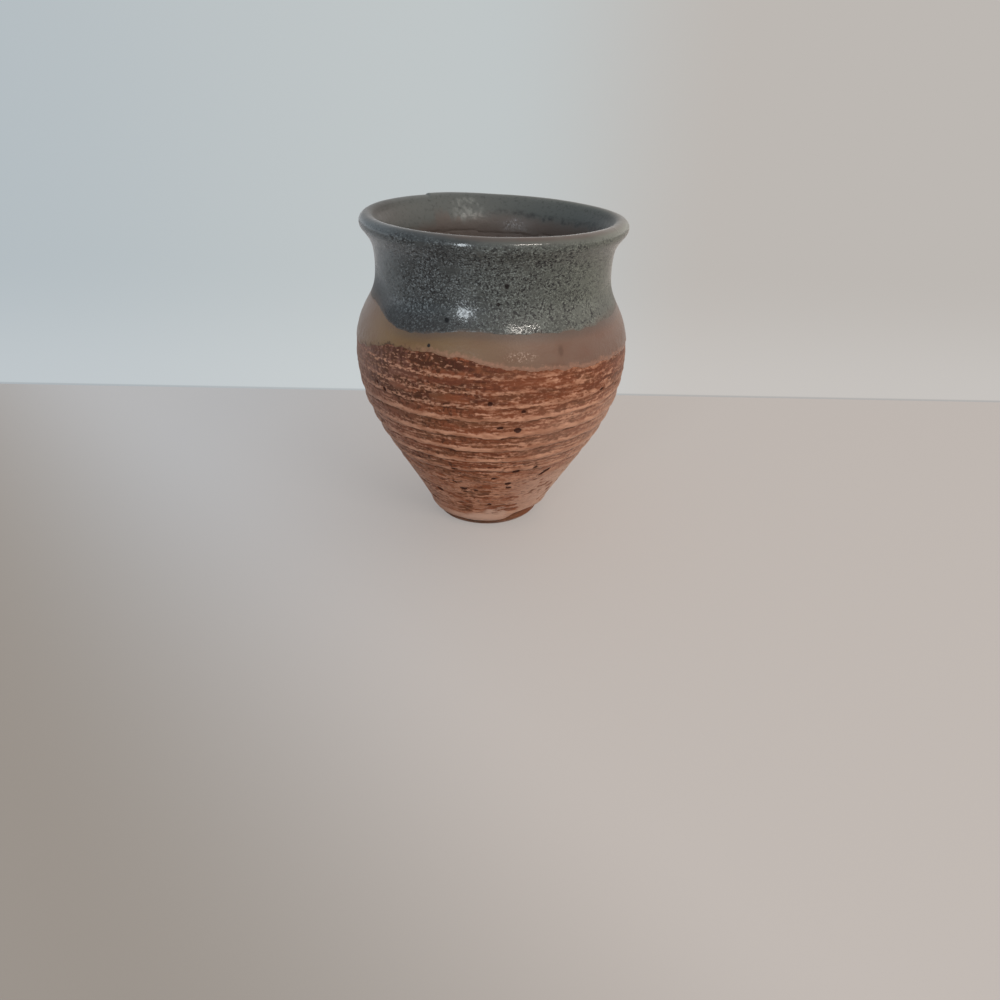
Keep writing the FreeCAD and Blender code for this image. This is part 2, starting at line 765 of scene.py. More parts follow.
    def split(self, vector: Socket) -> tuple[Socket, ...]:
        """Three numbers of a vector.

        Args:
            vector: The vector.

        Returns:
            Its numbers along x, y and z.
        """
        made = self.node("ShaderNodeSeparateXYZ")
        self.feed(made.inputs[0], vector)
        return tuple(made.outputs)

    def close(self, kind: str, shader: bpy.types.Node) -> None:
        """Ends the nodes with a shader.

        Args:
            kind: Blender's name for the kind of output.
            shader: The shader.
        """
        output = self.node(kind)
        self.feed(output.inputs["Surface"], shader.outputs[0])

    def blend(self, share: Socket, other: bpy.types.Node) -> None:
        """Lays another shader over the one that the nodes end with.

        Args:
            share: Share of the other shader.
            other: The other shader.
        """
        surface = next(node for node in self.nodes if "Output" in node.bl_idname).inputs["Surface"]
        made = self.node("ShaderNodeMixShader")
        self.feed(made.inputs[0], share)
        self.feed(made.inputs[1], surface.links[0].from_socket)
        self.feed(made.inputs[2], other.outputs[0])
        self.feed(surface, made.outputs[0])

    def glow(self, kind: str, colour: Socket) -> bpy.types.Node:
        """Shader that shines in a colour.

        Args:
            kind: Blender's name for the kind of shader.
            colour: The colour.

        Returns:
            The shader.
        """
        made = self.node(kind)
        self.feed(made.inputs["Color"], colour)
        return made

    def camera_ray(self) -> Socket:
        """1 where the camera looks straight on, and 0 for any other light."""
        return self.node("ShaderNodeLightPath").outputs["Is Camera Ray"]

    def finish(
        self, colour: Socket, rough: object, relief: Socket, **constants: object
    ) -> bpy.types.Material:
        """Closes a material with one shader.

        Args:
            colour: Its colour.
            rough: Its roughness.
            relief: Its direction out of the surface.
            constants: The shader's other inputs by name.

        Returns:
            The material.
        """
        shader = self.node("ShaderNodeBsdfPrincipled")
        self.feed(shader.inputs["Base Color"], colour)
        self.feed(shader.inputs["Roughness"], rough)
        self.feed(shader.inputs["Normal"], relief)
        for name, number in constants.items():
            self.feed(shader.inputs[name.replace("_", " ")], number)
        self.close("ShaderNodeOutputMaterial", shader)
        return self.owner


@dataclass(frozen=True)
class SpeckledGlaze:
    """Grey glaze full of fine specks, slate on one side and olive on the other: partly its own colour,
    partly painted cool and warm light.
    """

    # Slate on the left and olive on the right: partly the glaze's own colour, partly painted cool and warm
    # light
    slate_and_cool_light: Colour = tone(68, 72, 74)
    olive_and_warm_light: Colour = tone(94, 98, 91)
    pale_slate_and_cool_light: Colour = tone(124, 132, 136)
    pale_olive_and_warm_light: Colour = tone(128, 133, 123)
    dark: Colour = tone(24, 25, 27)
    # Dark pooled glaze, also the colour of the painted shade under the lip's flare
    pooled_glaze_and_shade: Colour = tone(45, 41, 39)
    black: Colour = tone(14, 13, 14)
    brown: Colour = tone(84, 70, 64)
    tan: Colour = tone(96, 80, 69)
    # Pale colour of the painted highlight streaks inside
    painted_glint_streaks: Colour = tone(138, 142, 138)
    inside: Colour = tone(80, 84, 82)
    thin: Colour = tone(86, 77, 72)
    cloud: Noise = Noise(9, 5, 3, 3)
    cloud_rise: Rise = Rise(0.4, 0.7, 0.3)
    # Pale specks, dark specks and larger dark grains, and where they crowd together
    fine: Noise = Noise(0.5, 0.46)
    fine_rise: Rise = Rise(0.5, 0.62, 0.68)
    pepper: Noise = Noise(0.7, 0.6, 2, 23)
    pepper_rise: Rise = Rise(0.53, 0.61, 0.3)
    pepper_strength: float = 3
    coarse: Noise = Noise(1.1, 0.9, 2, 9)
    coarse_rise: Rise = Rise(0.59, 0.66, 0.9)
    crowd: Noise = Noise(5, 4, 3, 17)
    crowd_rise: Rise = Rise(0.25, 0.5)
    # Inside: grains, painted highlight streaks that stand in for reflected light, and the broken dark line
    # over the liner
    lining_rise: Rise = Rise(0.55, 0.7, 0.3)
    drip: Noise = Noise(1.3, 7, 2, 21)
    drip_rise: Rise = Rise(0.4, 0.7, 0.4)
    line_foot: Rise = Rise(0.6, 1.9)
    line_head: Rise = Rise(3.6, 2.0)
    line_strength: float = 0.75
    broken: Noise = Noise(1.6, 1.2, 3, 4)
    broken_rise: Rise = Rise(0.35, 0.7)
    wander: Noise = Noise(0.9, 0.9, 1, 5)
    wander_reach: float = 0.5
    # Relief, and roughness: of the bare gloss, and what grains, the inside and dull parts add
    swell: Noise = Noise(2.4, 1.8, 2, 2)
    swell_depth: float = 0.09
    speck_depth: float = 0.035
    gloss: float = 0.1
    grain_rough: Rise = Rise(0.35, 0.8, 0.2)
    inside_rough: float = 0.22
    dull_rough: float = 0.35
    sheen: float = 0.15

    def material(self, spots: dict[Place, float]) -> bpy.types.Material:
        """Node material of the finish.

        Args:
            spots: Centre and radius of each dark spot.

        Returns:
            The material.
        """
        make = Recipe(bpy.data.materials.new("speckled_glaze"))
        within, olive_and_warm_light = make.value("inside"), make.value("olive_and_warm_light")
        fine, coarse = make.noise(self.fine), make.noise(self.coarse)
        pepper = make.patches(self.pepper, self.pepper_rise)
        pale = make.mix(olive_and_warm_light, self.pale_slate_and_cool_light, self.pale_olive_and_warm_light)
        busy = make.times(make.value("busy"), make.patches(self.crowd, self.crowd_rise))
        outer = make.layered(
            make.mix(olive_and_warm_light, self.slate_and_cool_light, self.olive_and_warm_light),
            (make.patches(self.cloud, self.cloud_rise), self.dark),
            # Painted pale sheen at the silhouettes
            (make.value("painted_edge_sheen"), pale),
            (make.times(make.rise(fine, self.fine_rise), busy), pale),
            (make.times(make.times(pepper, self.pepper_strength), busy), self.dark),
            (make.times(make.rise(coarse, self.coarse_rise), busy), self.dark),
        )
        # Painted highlight streaks inside, in the shape of drips
        drips = make.times(make.patches(self.drip, self.drip_rise), make.value("painted_glint_streaks"))
        lining = make.layered(
            self.inside,
            (make.rise(coarse, self.lining_rise), self.dark),
            (drips, self.painted_glint_streaks),
        )
        run = make.run()
        line = make.times(make.rise(run, self.line_foot), make.rise(run, self.line_head))
        broken = make.times(make.value("seam_and_shade"), make.patches(self.broken, self.broken_rise))
        body = make.layered(
            make.mix(within, outer, lining),
            (make.times(within, make.rise(run, RUN_RISE.back())), self.thin),
            (make.times(make.times(line, broken), self.line_strength), self.dark),
            # Pooled dark glaze, and painted shade under the lip's flare
            (make.value("pool_and_shade"), self.pooled_glaze_and_shade),
            (make.value("fade"), self.tan),
            (make.value("break"), self.brown),
        )
        wander = make.times(make.noise(self.wander), self.wander_reach)
        body = make.spotted(body, spots, wander, self.black)
        relief = make.bump(make.noise(self.swell), self.swell_depth)
        relief = make.bump(make.times(fine, busy), self.speck_depth, relief)
        rough = make.times(make.plus(make.rise(coarse, self.grain_rough), pepper), busy)
        rough = make.plus(rough, make.times(within, self.inside_rough))
        rough = make.plus(rough, make.times(make.value("dull"), self.dull_rough))
        rough = make.plus(rough, self.gloss)
        shine = {"IOR": GLAZE_IOR, "Sheen_Weight": self.sheen, "Sheen_Roughness": SHEEN_ROUGHNESS}
        return make.finish(body, rough, relief, **shine)


@dataclass(frozen=True)
class SatinGlaze:
    """Thin tan glaze, ochre on one side and mauve on the other, with a dry pale edge; at the far left its
    mauve is partly painted sheen.
    """

    ochre: Colour = tone(118, 94, 61)
    # Mauve of the glaze on the right, and partly painted sheen at the far left's silhouette
    mauve_and_edge_sheen: Colour = tone(114, 88, 76)
    crust: Colour = tone(158, 118, 98)
    # Pale of the painted glint and of the painted sheen on the left
    pale: Colour = tone(184, 160, 142)
    soot: Colour = tone(64, 40, 22)
    rust: Colour = tone(106, 66, 48)
    black: Colour = tone(22, 18, 16)
    shade: Colour = tone(88, 77, 70)
    cloud: Noise = Noise(7, 4, 3, 4)
    cloud_rise: Rise = Rise(0.4, 0.75, 0.3)
    # The lower edge: how far it strays, and its pale crust where it is dry
    ragged: Noise = Noise(1.1, 1.4, 3, 1)
    ragged_reach: float = 2.4
    crust_rise: Rise = Rise(0.4, -0.6, 0.6)
    # Dark grains near the edge where it is wet, and how fast they thin out above it
    grain: Noise = Noise(1.1, 1.3, 2, 14)
    grain_fall: float = 0.14
    grain_rise: Rise = Rise(0.42, 0.54, 0.9)
    # Pale ash near the edge where it is dry
    ash: Noise = Noise(0.9, 0.5, 3, 19)
    ash_fall: float = 0.12
    ash_rise: Rise = Rise(0.38, 0.58, 0.7)
    # Painted glint: pale dots that stand in for a faint highlight on the tan band
    painted_glint: Noise = Noise(0.5, 0.6, 2, 15)
    painted_glint_rise: Rise = Rise(0.52, 0.64, 0.55)
    wander: Noise = Noise(0.7, 0.7, 1, 5)
    wander_reach: float = 0.4
    fine: Noise = Noise(0.6, 0.6, 3, 8)
    fine_depth: float = 0.08
    swell: Noise = Noise(3, 2, 2, 6)
    swell_depth: float = 0.1
    satin: float = 0.42
    edge_rough: Rise = Rise(0.8, -0.6, 0.25)
    specular: float = 0.35
    sheen: float = 0.5

    def material(self, spots: dict[Place, float]) -> bpy.types.Material:
        """Node material of the finish.

        Args:
            spots: Centre and radius of each dark spot.

        Returns:
            The material.
        """
        make = Recipe(bpy.data.materials.new("satin_glaze"))
        above, dry = make.value("edge"), make.value("dry")
        edge = make.minus(above, make.times(make.noise(self.ragged), self.ragged_reach))
        grain = make.minus(make.noise(self.grain), make.times(above, self.grain_fall))
        ash = make.minus(make.noise(self.ash), make.times(above, self.ash_fall))
        body = make.layered(
            make.mix(make.value("mauve_and_edge_sheen"), self.ochre, self.mauve_and_edge_sheen),
            (make.patches(self.cloud, self.cloud_rise), self.rust),
            # Painted shade under the upper coat's edge
            (make.value("shade"), self.shade),
            (make.times(make.rise(grain, self.grain_rise), make.minus(1, dry)), self.soot),
            (make.times(make.rise(edge, self.crust_rise), dry), self.crust),
            (make.times(make.rise(ash, self.ash_rise), dry), self.crust),
            # Painted glint of pale dots
            (make.times(make.patches(self.painted_glint, self.painted_glint_rise), make.value("painted_glint")), self.pale),
            (make.value("smudge"), self.soot),
            # Painted pale sheen on the far left
            (make.value("painted_left_sheen"), self.pale),
        )
        wander = make.times(make.noise(self.wander), self.wander_reach)
        body = make.spotted(body, spots, wander, self.black)
        relief = make.bump(make.noise(self.swell), self.swell_depth)
        relief = make.bump(make.noise(self.fine), self.fine_depth, relief)
        rough = make.plus(make.rise(edge, self.edge_rough), self.satin)
        shine = {
            "Specular_IOR_Level": self.specular,
            "Sheen_Weight": self.sheen,
            "Sheen_Roughness": SHEEN_ROUGHNESS,
        }
        return make.finish(body, rough, relief, **shine)


@dataclass(frozen=True)
class WashedClay:
    """Pink-brown clay with iron wash in its hollows, from rust to nearly black."""

    bare: Colour = tone(192, 141, 114)
    tanned: Colour = tone(158, 107, 81)
    rust: Colour = tone(129, 72, 46)
    brown: Colour = tone(114, 71, 48)
    maroon: Colour = tone(90, 46, 31)
    dark: Colour = tone(65, 35, 19)
    pale: Colour = tone(188, 140, 114)
    smooth: Colour = tone(195, 159, 140)
    pit: Colour = tone(60, 28, 16)
    # Colour of the painted shade in the crease, at the base's edge and under the crease
    crease: Colour = tone(66, 46, 33)
    # Mauve at the sides: partly the clay's own colour, partly painted sheen at the silhouettes
    mauve_and_edge_sheen: Colour = tone(131, 105, 96)
    # Noises that stray the edge of the wash
    fine: Noise = Noise(1.1, 0.65, 4)
    fine_reach: float = 1.5
    streak: Noise = Noise(4.5, 0.85, 3, 11)
    streak_reach: float = 1.6
    noise_middle: float = 0.5
    wash_rise: Rise = Rise(0.25, 0.8)
    # Colours of the wash and of the clay under it
    patch: Noise = Noise(10, 3, 3, 3)
    patch_rise: Rise = Rise(0.42, 0.66)
    maroon_rise: Rise = Rise(0.36, 0.56)
    tan: Noise = Noise(5, 1.6, 3, 5)
    tan_rise: Rise = Rise(0.38, 0.64)
    # Dark grains, pale flecks and threads, and fine dark dashes
    soot: Noise = Noise(1.1, 1.9, 3, 7)
    soot_grit: float = 0.16
    soot_rise: Rise = Rise(0.57, 0.66, 0.8)
    fleck: Noise = Noise(1.2, 0.6, 3, 12)
    fleck_rise: Rise = Rise(0.58, 0.66, 0.6)
    thread_rise: Rise = Rise(0.44, 0.56, 0.85)
    dash: Noise = Noise(1.7, 0.6, 3, 27)
    dash_rise: Rise = Rise(0.57, 0.64, 0.8)
    pit_rise: Rise = Rise(0.25, 0.7)
    swell: Noise = Noise(2.2, 1.1, 3, 2)
    swell_depth: float = 0.12
    streak_depth: float = 0.3
    fine_depth: float = 0.16
    matt: float = 0.55
    wash_rough: Rise = Rise(0, 1, 0.15)
    specular: float = 0.2
    sheen: float = 0.25
    sheen_tint: Colour = (1, 0.8, 0.68)

    def material(self) -> bpy.types.Material:
        """Node material of the finish.

        Returns:
            The material.
        """
        make = Recipe(bpy.data.materials.new("washed_clay"))
        grit = make.value("grit")
        fine, streak, fleck = make.noise(self.fine), make.noise(self.streak), make.noise(self.fleck)
        ragged = make.times(make.minus(fine, self.noise_middle), self.fine_reach)
        drawn = make.times(make.minus(streak, self.noise_middle), self.streak_reach)
        level = make.plus(make.value("wash"), make.plus(ragged, drawn))
        wash = make.rise(level, self.wash_rise)
        stained = make.layered(
            make.mix(make.patches(self.patch, self.patch_rise), self.rust, self.brown),
            (make.times(make.rise(streak, self.maroon_rise), grit), self.maroon),
            (make.value("stain"), self.maroon),
        )
        clay = make.mix(make.patches(self.tan, self.tan_rise), self.tanned, self.bare)
        soot = make.plus(make.noise(self.soot), make.times(grit, self.soot_grit))
        soot = make.times(make.rise(soot, self.soot_rise), make.value("soot"))
        body = make.layered(
            make.mix(wash, clay, stained),
            (make.value("plain"), self.tanned),
            (make.value("smooth"), self.smooth),
            # Mauve at the sides, partly painted sheen at the silhouettes
            (make.value("mauve_and_edge_sheen"), self.mauve_and_edge_sheen),
            (make.times(soot, wash), self.dark),
            (make.times(make.rise(fleck, self.fleck_rise), grit), self.pale),
            (make.times(make.rise(fleck, self.thread_rise), make.value("thread")), self.pale),
            # Painted shade below each crest
            (make.value("seam_and_shade"), self.dark),
            (make.times(make.patches(self.dash, self.dash_rise), make.value("dashed")), self.pit),
            # Painted shade in and under the crease and at the base's edge
            (make.value("crease"), self.crease),
            (make.rise(make.value("pit"), self.pit_rise), self.pit),
        )
        relief = make.bump(make.noise(self.swell), self.swell_depth)
        relief = make.bump(streak, self.streak_depth, relief)
        relief = make.bump(fine, self.fine_depth, relief)
        rough = make.plus(make.rise(wash, self.wash_rough), self.matt)
        shine = {
            "Specular_IOR_Level": self.specular,
            "Sheen_Weight": self.sheen,
            "Sheen_Roughness": SHEEN_ROUGHNESS,
            "Sheen_Tint": self.sheen_tint,
        }
        return make.finish(body, rough, relief, **shine)


@dataclass(frozen=True)
class BrownLiner:
    """Thin brown glaze inside, clouded with grey-green where the upper coat ran."""

    brown: Colour = tone(94, 84, 79)
    green: Colour = tone(84, 88, 84)
    dark: Colour = tone(58, 48, 44)
    cloud: Noise = Noise(4, 3, 4, 6)
    cloud_rise: Rise = Rise(0.5, 0.7, 0.5)
    swell: Noise = Noise(3, 3, 2, 2)
    swell_depth: float = 0.15
    satin: float = 0.42
    grain: Noise = Noise(1, 1, 2, 3)
    grain_rough: Rise = Rise(0.3, 0.7, 0.15)

    def material(self) -> bpy.types.Material:
        """Node material of the finish.

        Returns:
            The material.
        """
        make = Recipe(bpy.data.materials.new("brown_liner"))
        body = make.mix(make.rise(make.run(), RUN_RISE), self.brown, self.green)
        body = make.mix(make.patches(self.cloud, self.cloud_rise), body, self.dark)
        relief = make.bump(make.noise(self.swell), self.swell_depth)
        rough = make.plus(make.patches(self.grain, self.grain_rough), self.satin)
        return make.finish(body, rough, relief, IOR=GLAZE_IOR)


def settle(piece: bpy.types.Object, node: str, material: bpy.types.Material) -> None:
    """Gives a piece its finish and its place in the frame.

    Args:
        piece: The piece.
        node: Node that it stands for.
        material: Its finish.
    """
    piece.data.materials.append(material)
    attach(piece, "root")
    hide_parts(node)


@dataclass(frozen=True)
class Spiral:
    """The spiral ridge that the fingers left, as an amount at each point.

    crest, line and undercut say how much of a crest, of a thin line between crests, and of
    the undercut below a crest lies there; the colours also paint the undercut dark as shade.
    share is how high the ridge stands, and bare how clean its crests are of wash.
    """

    crest: Array
    line: Array
    undercut: Array
    share: Array
    bare: Array


@dataclass(frozen=True)
class Foot:
    """The crease over the foot.

    above is the height over it. below, fold and roll say how much of the foot under it, of the
    fold in it and of the roll of clay over it lies at each point. The colours paint the fold and
    the foot under it dark as shade.
    """

    above: Array
    below: Array
    fold: Array
    roll: Array


@dataclass(frozen=True)
class Wash:
    """The iron wash, as an amount at each point.

    left is its strength round the cup, heavy its dark top, hollow the hollows that hold it,
    smear its blotches near the foot, and band the smooth bands where a finger drew it out.
    """

    left: Array
    heavy: Array
    hollow: Array
    smear: Array
    band: Array


@dataclass(frozen=True)
class ClayBody:
    """The thrown clay: foot, ridged wall, lip and hollow."""

    columns: int = 640
    foot_radius: float = 16.3
    foot_bevel: float = 0.5
    # Direction out of the bevel, and radius and height at which the foot meets the wall
    bevel_out: tuple[float, float] = (0.8, -0.6)
    foot_join: tuple[float, float] = (18.75, 3.9)
    # Rows of the mesh, close on the outside that shows and far apart where a coat hides it
    centre_radius: float = 0.4
    base_rows: int = 12
    side_rows: int = 18
    low_top: float = 13
    low_step: float = 0.22
    ridged_top: float = 63.5
    ridged_step: float = 0.38
    hidden_step: float = 3
    hollow_step: float = 6
    lip_rows: int = 6
    floor_rows: int = 3
    # Relief near the foot stands straight out from the axis
    level_span: Span = (12, 7)
    # Where the surface counts as outside: how far it faces out, and up to which height
    outside_lean: float = 0.4
    outside_top: float = 70

    # Heights of the crest at the front, one for each turn of the wheel
    crests: tuple[float, ...] = (
        -4, 2, 7, 12, 17, 22.6, 28, 32.3, 36.9, 42, 47.5, 51.3, 55.6, 59.6, 64.5, 71,
    )
    # Height of the ridge, how much of it stands, and how bare of wash it is, up the wall
    ridge: float = 0.4
    ridge_shares: Marks = ((14, 0), (24, 0.3), (33, 1), (46, 1), (51, 0.2), (64, 0.1))
    bare_shares: Marks = ((10, 0), (22, 0.3), (27, 0.7), (33, 1), (48, 1), (52, 0.4), (64, 0.1))
    uneven: Grain = Grain(24, 13, 3)
    uneven_share: float = 0.45
    # How unsteady the hand was, in parts of a turn
    slow_hand: Grain = Grain(21, 22, 6)
    slow_reach: float = 0.1
    quick_hand: Grain = Grain(22, 3.2, 1.6, 3)
    quick_reach: float = 0.075
    # The parts of a turn, from -0.5 to 0.5, on which a crest rises and falls
    crest_foot: Span = (-0.17, -0.09)
    crest_head: Span = (0.22, 0.1)
    # Thin lines between crests, at these parts of a turn, each broken by its grain
    lines: tuple[tuple[float, Grain], ...] = ((0.36, Grain(23, 11, 3)), (-0.4, Grain(28, 11, 3)))
    line_edge: Span = (0.075, 0.02)
    line_shown: Span = (-0.25, 0.35)
    line_height: float = 0.3
    # The undercut below a crest, at this part of a turn, and the grain that breaks it
    undercut: float = -0.2
    undercut_edge: Span = (0.07, 0.02)
    undercut_grain: Grain = Grain(29, 8, 3)
    undercut_shown: Span = (-0.5, 0.3)
    undercut_depth: float = 0.12

    # Height of the crease, the fold in it, which the colours also paint dark as shade, and the roll of clay
    # over it
    crease: Belt = Belt(
        (
            (-150, 2.2), (-75, 1.4), (-40, 1.9), (12, 1.7), (19, 2.4), (27, 4.8), (42, 5.4), (54, 5.0),
            (70, 3.6), (90, 2.4), (150, 2.2),
        ),
        3,
    )
    crease_grain: Grain = Grain(27, 4, 4)
    crease_reach: float = 0.25
    below_span: Span = (0.2, -0.2)
    fold_drop: float = 0.15
    fold_span: Span = (0.5, 0.05)
    fold_depth: float = 0.3
    roll: float = 0.4
    roll_foot: Span = (0, 1)
    roll_head: Span = (4.5, 1.5)
    # How far the foot stands out under the crease, beyond the resting face
    foot_spread: float = 0.45

    # Grit in the surface: everywhere, more in the hollows, and more in the dark top
    grit: float = 0.1
    grit_grain: Grain = Grain(25, 1.7, 0.9, 3)
    grit_least: float = 0.25
    grit_heavy: float = 0.3
    grit_span: Span = (60, 48)
    smear_depth: float = 0.12
    pit_depth: float = 0.5
    # Nothing stands off the resting face
    rest_span: Span = (0.1, 0.9)

    # Strength of the wash round the cup. Its dark top is broken by a grain, and even higher up
    left: Belt = Belt(
        ((-110, 0.2), (-63, 0.2), (-50, 1), (-10, 0.9), (8, 0.25), (60, 0.35), (120, 0.6), (180, 0.4)),
    )
    heavy_foot: Span = (46, 53)
    heavy_head: Span = (68, 65)
    heavy_least: float = 0.3
    heavy_grain: Grain = Grain(30, 8, 1.5)
    heavy_shown: Span = (-0.35, 0.3)
    heavy_even: Span = (60, 62)
    hollow_span: Span = (12, 29)
    # Blotches near the foot
    blotch: Grain = Grain(26, 2.8, 0.9, 4)
    large_blotch: Grain = Grain(32, 7, 3, 3)
    large_share: float = 0.6
    blotch_span: Span = (0.25, 0.75)
    smear_head: Span = (30, 25)
    smear_foot: Span = (5, 8)
    # Smooth bands of stain where a finger drew the wash out
    bands: tuple[Mark, ...] = (
        Mark(-33, 57.6, 7, 0.9),
        Mark(-16, 57.8, 8, 0.9),
        Mark(-38, 54.2, 3.5, 1.3),
        Mark(-15, 53, 7, 1.5),
        Mark(15, 58.5, 8, 1.1),
    )
    band_share: float = 0.85
    band_grain: Grain = Grain(33, 3.4, 1.6, 3)
    band_stray: float = 0.9
    # Pits listed one by one
    pits: tuple[Mark, ...] = (
        Mark(15.5, 27, 1.5, 0.8),
        Mark(26, 27.9, 0.9, 0.8),
        Mark(35, 24.5, 2.6, 0.8, 32),
        Mark(13, 21.4, 1.2, 0.9),
        Mark(14, 19.4, 1.1, 0.6),
        Mark(5.2, 44.6, 1.1, 0.6),
        Mark(12.4, 43.8, 1.3, 0.8),
        Mark(-46, 50.8, 1.0, 0.8),
        Mark(14, 49.8, 0.8, 0.6),
        Mark(1, 52.3, 0.8, 0.8),
        Mark(-36, 14.7, 1.4, 1.0),
        Mark(-15, 18.2, 1.4, 0.7),
        Mark(-14, 16.8, 1.2, 0.5),
        Mark(-7, 18.0, 0.9, 0.5),
        Mark(-17, 27.5, 1.3, 0.5),
        Mark(2.5, 11, 0.8, 0.6),
        Mark(4, 24, 0.9, 0.6),
        Mark(-20, 21, 1.2, 0.5, -30),
    )
    # Pits strewn where none is listed, more of them low down
    strewn_count: int = 90
    strewn_seed: int = 31
    strewn_turns: Span = (48, 312)
    strewn_low: float = 8
    strewn_reach: float = 48
    strewn_power: float = 1.6
    strewn_lengths: Span = (0.6, 1.5)
    strewn_widths: Span = (0.4, 0.8)

    def profile(self, pot: Pot) -> Array:
        """Closed profile of the clay.

        Args:
            pot: The thrown form.

        Returns:
            Profile from the middle of the base, up and over, to the hollow's floor.
        """
        edge = self.foot_radius - self.foot_bevel
        base = [[r, 0, 0, -1] for r in np.linspace(self.centre_radius, edge, self.base_rows)]
        bevel = [[self.foot_radius, self.foot_bevel, *self.bevel_out]]
        rise = np.linspace(0, 1, self.side_rows)[1:, None]
        flare = (1 - rise) * (self.foot_radius, self.foot_bevel) + rise * self.foot_join
        side = np.column_stack([flare, np.ones(len(flare)), np.zeros(len(flare))])
        low = pot.outer(pot.root, self.low_top, self.low_step)
        wall = np.vstack([low, pot.outer(self.low_top, self.ridged_top, self.ridged_step)[1:]])
        level = ease(wall[:, 1:2], *self.level_span)
        wall[:, 2:] = (1 - level) * wall[:, 2:] + level * (1, 0)
        parts = [
            base,
            bevel,
            side,
            wall,
            pot.outer(self.ridged_top, pot.top, self.hidden_step)[1:],
            pot.lip(self.lip_rows),
            pot.inner(pot.hollow_foot, pot.top, self.hollow_step),
            pot.bottom(self.floor_rows)[:-1],
        ]
        return np.vstack(parts)

    def throwing(self, place: Surface) -> Spiral:
        """Ridge left by the fingers.

        Args:
            place: The surface without relief.

        Returns:
            The ridge at each point.
        """
        points, height = place.points, place.height
        wound = np.interp(height, self.crests, np.arange(len(self.crests))) - place.turn / FULL_TURN
        slow = self.slow_reach * self.slow_hand.at(points)
        phase = wrapped(wound + (slow + self.quick_reach * self.quick_hand.at(points)))
        line = np.zeros_like(phase)
        for middle, grain in self.lines:
            shown = ease(grain.at(points), *self.line_shown)
            line = np.maximum(line, ease(abs(wrapped(phase - middle)), *self.line_edge) * shown)
        cut = ease(abs(phase - self.undercut), *self.undercut_edge)
        uneven = 1 + self.uneven_share * self.uneven.at(points)
        return Spiral(
            crest=ease(phase, *self.crest_foot) * ease(phase, *self.crest_head),
            line=line,
            undercut=cut * ease(self.undercut_grain.at(points), *self.undercut_shown),
            share=graded(height, self.ridge_shares) * uneven,
            bare=np.clip(graded(height, self.bare_shares) * uneven, 0, 1),
        )

    def standing(self, place: Surface) -> Foot:
        """Crease between the foot and the wall.

        Args:
            place: The surface without relief.

        Returns:
            The crease at each point.
        """
        crease = self.crease.at(place.turn) + self.crease_reach * self.crease_grain.at(place.points)
        above = place.height - crease
        return Foot(
            above=above,
            below=ease(above, *self.below_span),
            fold=ease(abs(above + self.fold_drop), *self.fold_span),
            roll=ease(above, *self.roll_foot) * ease(above, *self.roll_head),
        )

    def washing(self, place: Surface, spiral: Spiral) -> Wash:
        """Iron wash on the wall.

        Args:
            place: The surface without relief.
            spiral: The ridge, whose hollows hold the wash.

        Returns:
            The wash at each point.
        """
        points, height = place.points, place.height
        left = self.left.at(place.turn)
        heavy = left * ease(height, *self.heavy_foot) * ease(height, *self.heavy_head)
        shown = ease(self.heavy_grain.at(points), *self.heavy_shown)
        shown = np.maximum(shown, ease(height, *self.heavy_even))
        heavy *= self.heavy_least + (1 - self.heavy_least) * shown
        blotch = self.blotch.at(points) + self.large_share * self.large_blotch.at(points)
        smear = ease(blotch, *self.blotch_span) * ease(height, *self.smear_head)
        strayed = replace(place, height=height + self.band_stray * self.band_grain.at(points))
        return Wash(
            left=left,
            heavy=heavy,
            hollow=(1 - spiral.crest * spiral.bare) * ease(height, *self.hollow_span),
            smear=smear * ease(height, *self.smear_foot),
            band=self.band_share * strayed.cover(*self.bands),
        )

    def relief(self, place: Surface, spiral: Spiral, foot: Foot, wash: Wash, pit: Array) -> Array:
        """How far the clay stands off its profile.

        Args:
            place: The surface without relief.
            spiral: The throwing ridge.
            foot: The crease over the foot.
            wash: The wash, which is grittier than bare clay.
            pit: How much of a pit lies at each point.

        Returns:
            Height of the relief, by row and angle.
        """
        height = place.height
        gritty = self.grit_least + wash.hollow * ease(height, *self.grit_span) + self.grit_heavy * wash.heavy
        lift = self.ridge * (spiral.crest + self.line_height * spiral.line) * spiral.share
        lift += self.grit * self.grit_grain.at(place.points) * gritty
        sunk = self.smear_depth * wash.smear + self.pit_depth * pit
        lift -= sunk + self.undercut_depth * spiral.undercut * spiral.bare
        lift += self.roll * foot.roll * (1 - foot.below) - self.fold_depth * foot.fold
        recess = np.maximum(place.radius - self.foot_radius - self.foot_spread, 0) * foot.below
        return (lift - recess) * ease(height, *self.rest_span)

    def scattered(self) -> tuple[Mark, ...]:
        """Pits strewn over the wall.

        Returns:
            The pits, where none is listed.
        """
        chance = np.random.default_rng(self.strewn_seed)
        marks = []
        for _ in range(self.strewn_count):
            mark = Mark(
                chance.uniform(*self.strewn_turns),
                self.strewn_low + self.strewn_reach * chance.random() ** self.strewn_power,
                chance.uniform(*self.strewn_lengths),
                chance.uniform(*self.strewn_widths),
            )
            marks.append(mark)
        return tuple(marks)

    def build(self, pot: Pot) -> bpy.types.Object:
        """Mesh of the clay with its relief and its finish.

        Args:
            pot: The thrown form.

        Returns:
            The piece.
        """
        profile = self.profile(pot)
        place = pot.surface(profile, turns(self.columns))
        outside = ((profile[:, 2] > self.outside_lean) & (profile[:, 1] < self.outside_top))[:, None]
        spiral = self.throwing(place)
        foot = self.standing(place)
        wash = self.washing(place, spiral)
        pit = place.cover(*self.pits, *self.scattered())
        lift = self.relief(place, spiral, foot, wash, pit) * outside
        values = ClayColours().values(place, spiral, foot, wash)
        values["pit"] = pit
        for name in ("seam_and_shade", "crease"):
            values[name] = values[name] * outside
        points = pot.placed(profile, lift, place.turn)
        clay = Skin("clay_body_thrown", points, Ends.POLES, values).build()
        settle(clay, "clay_body", WashedClay().material())
        return clay


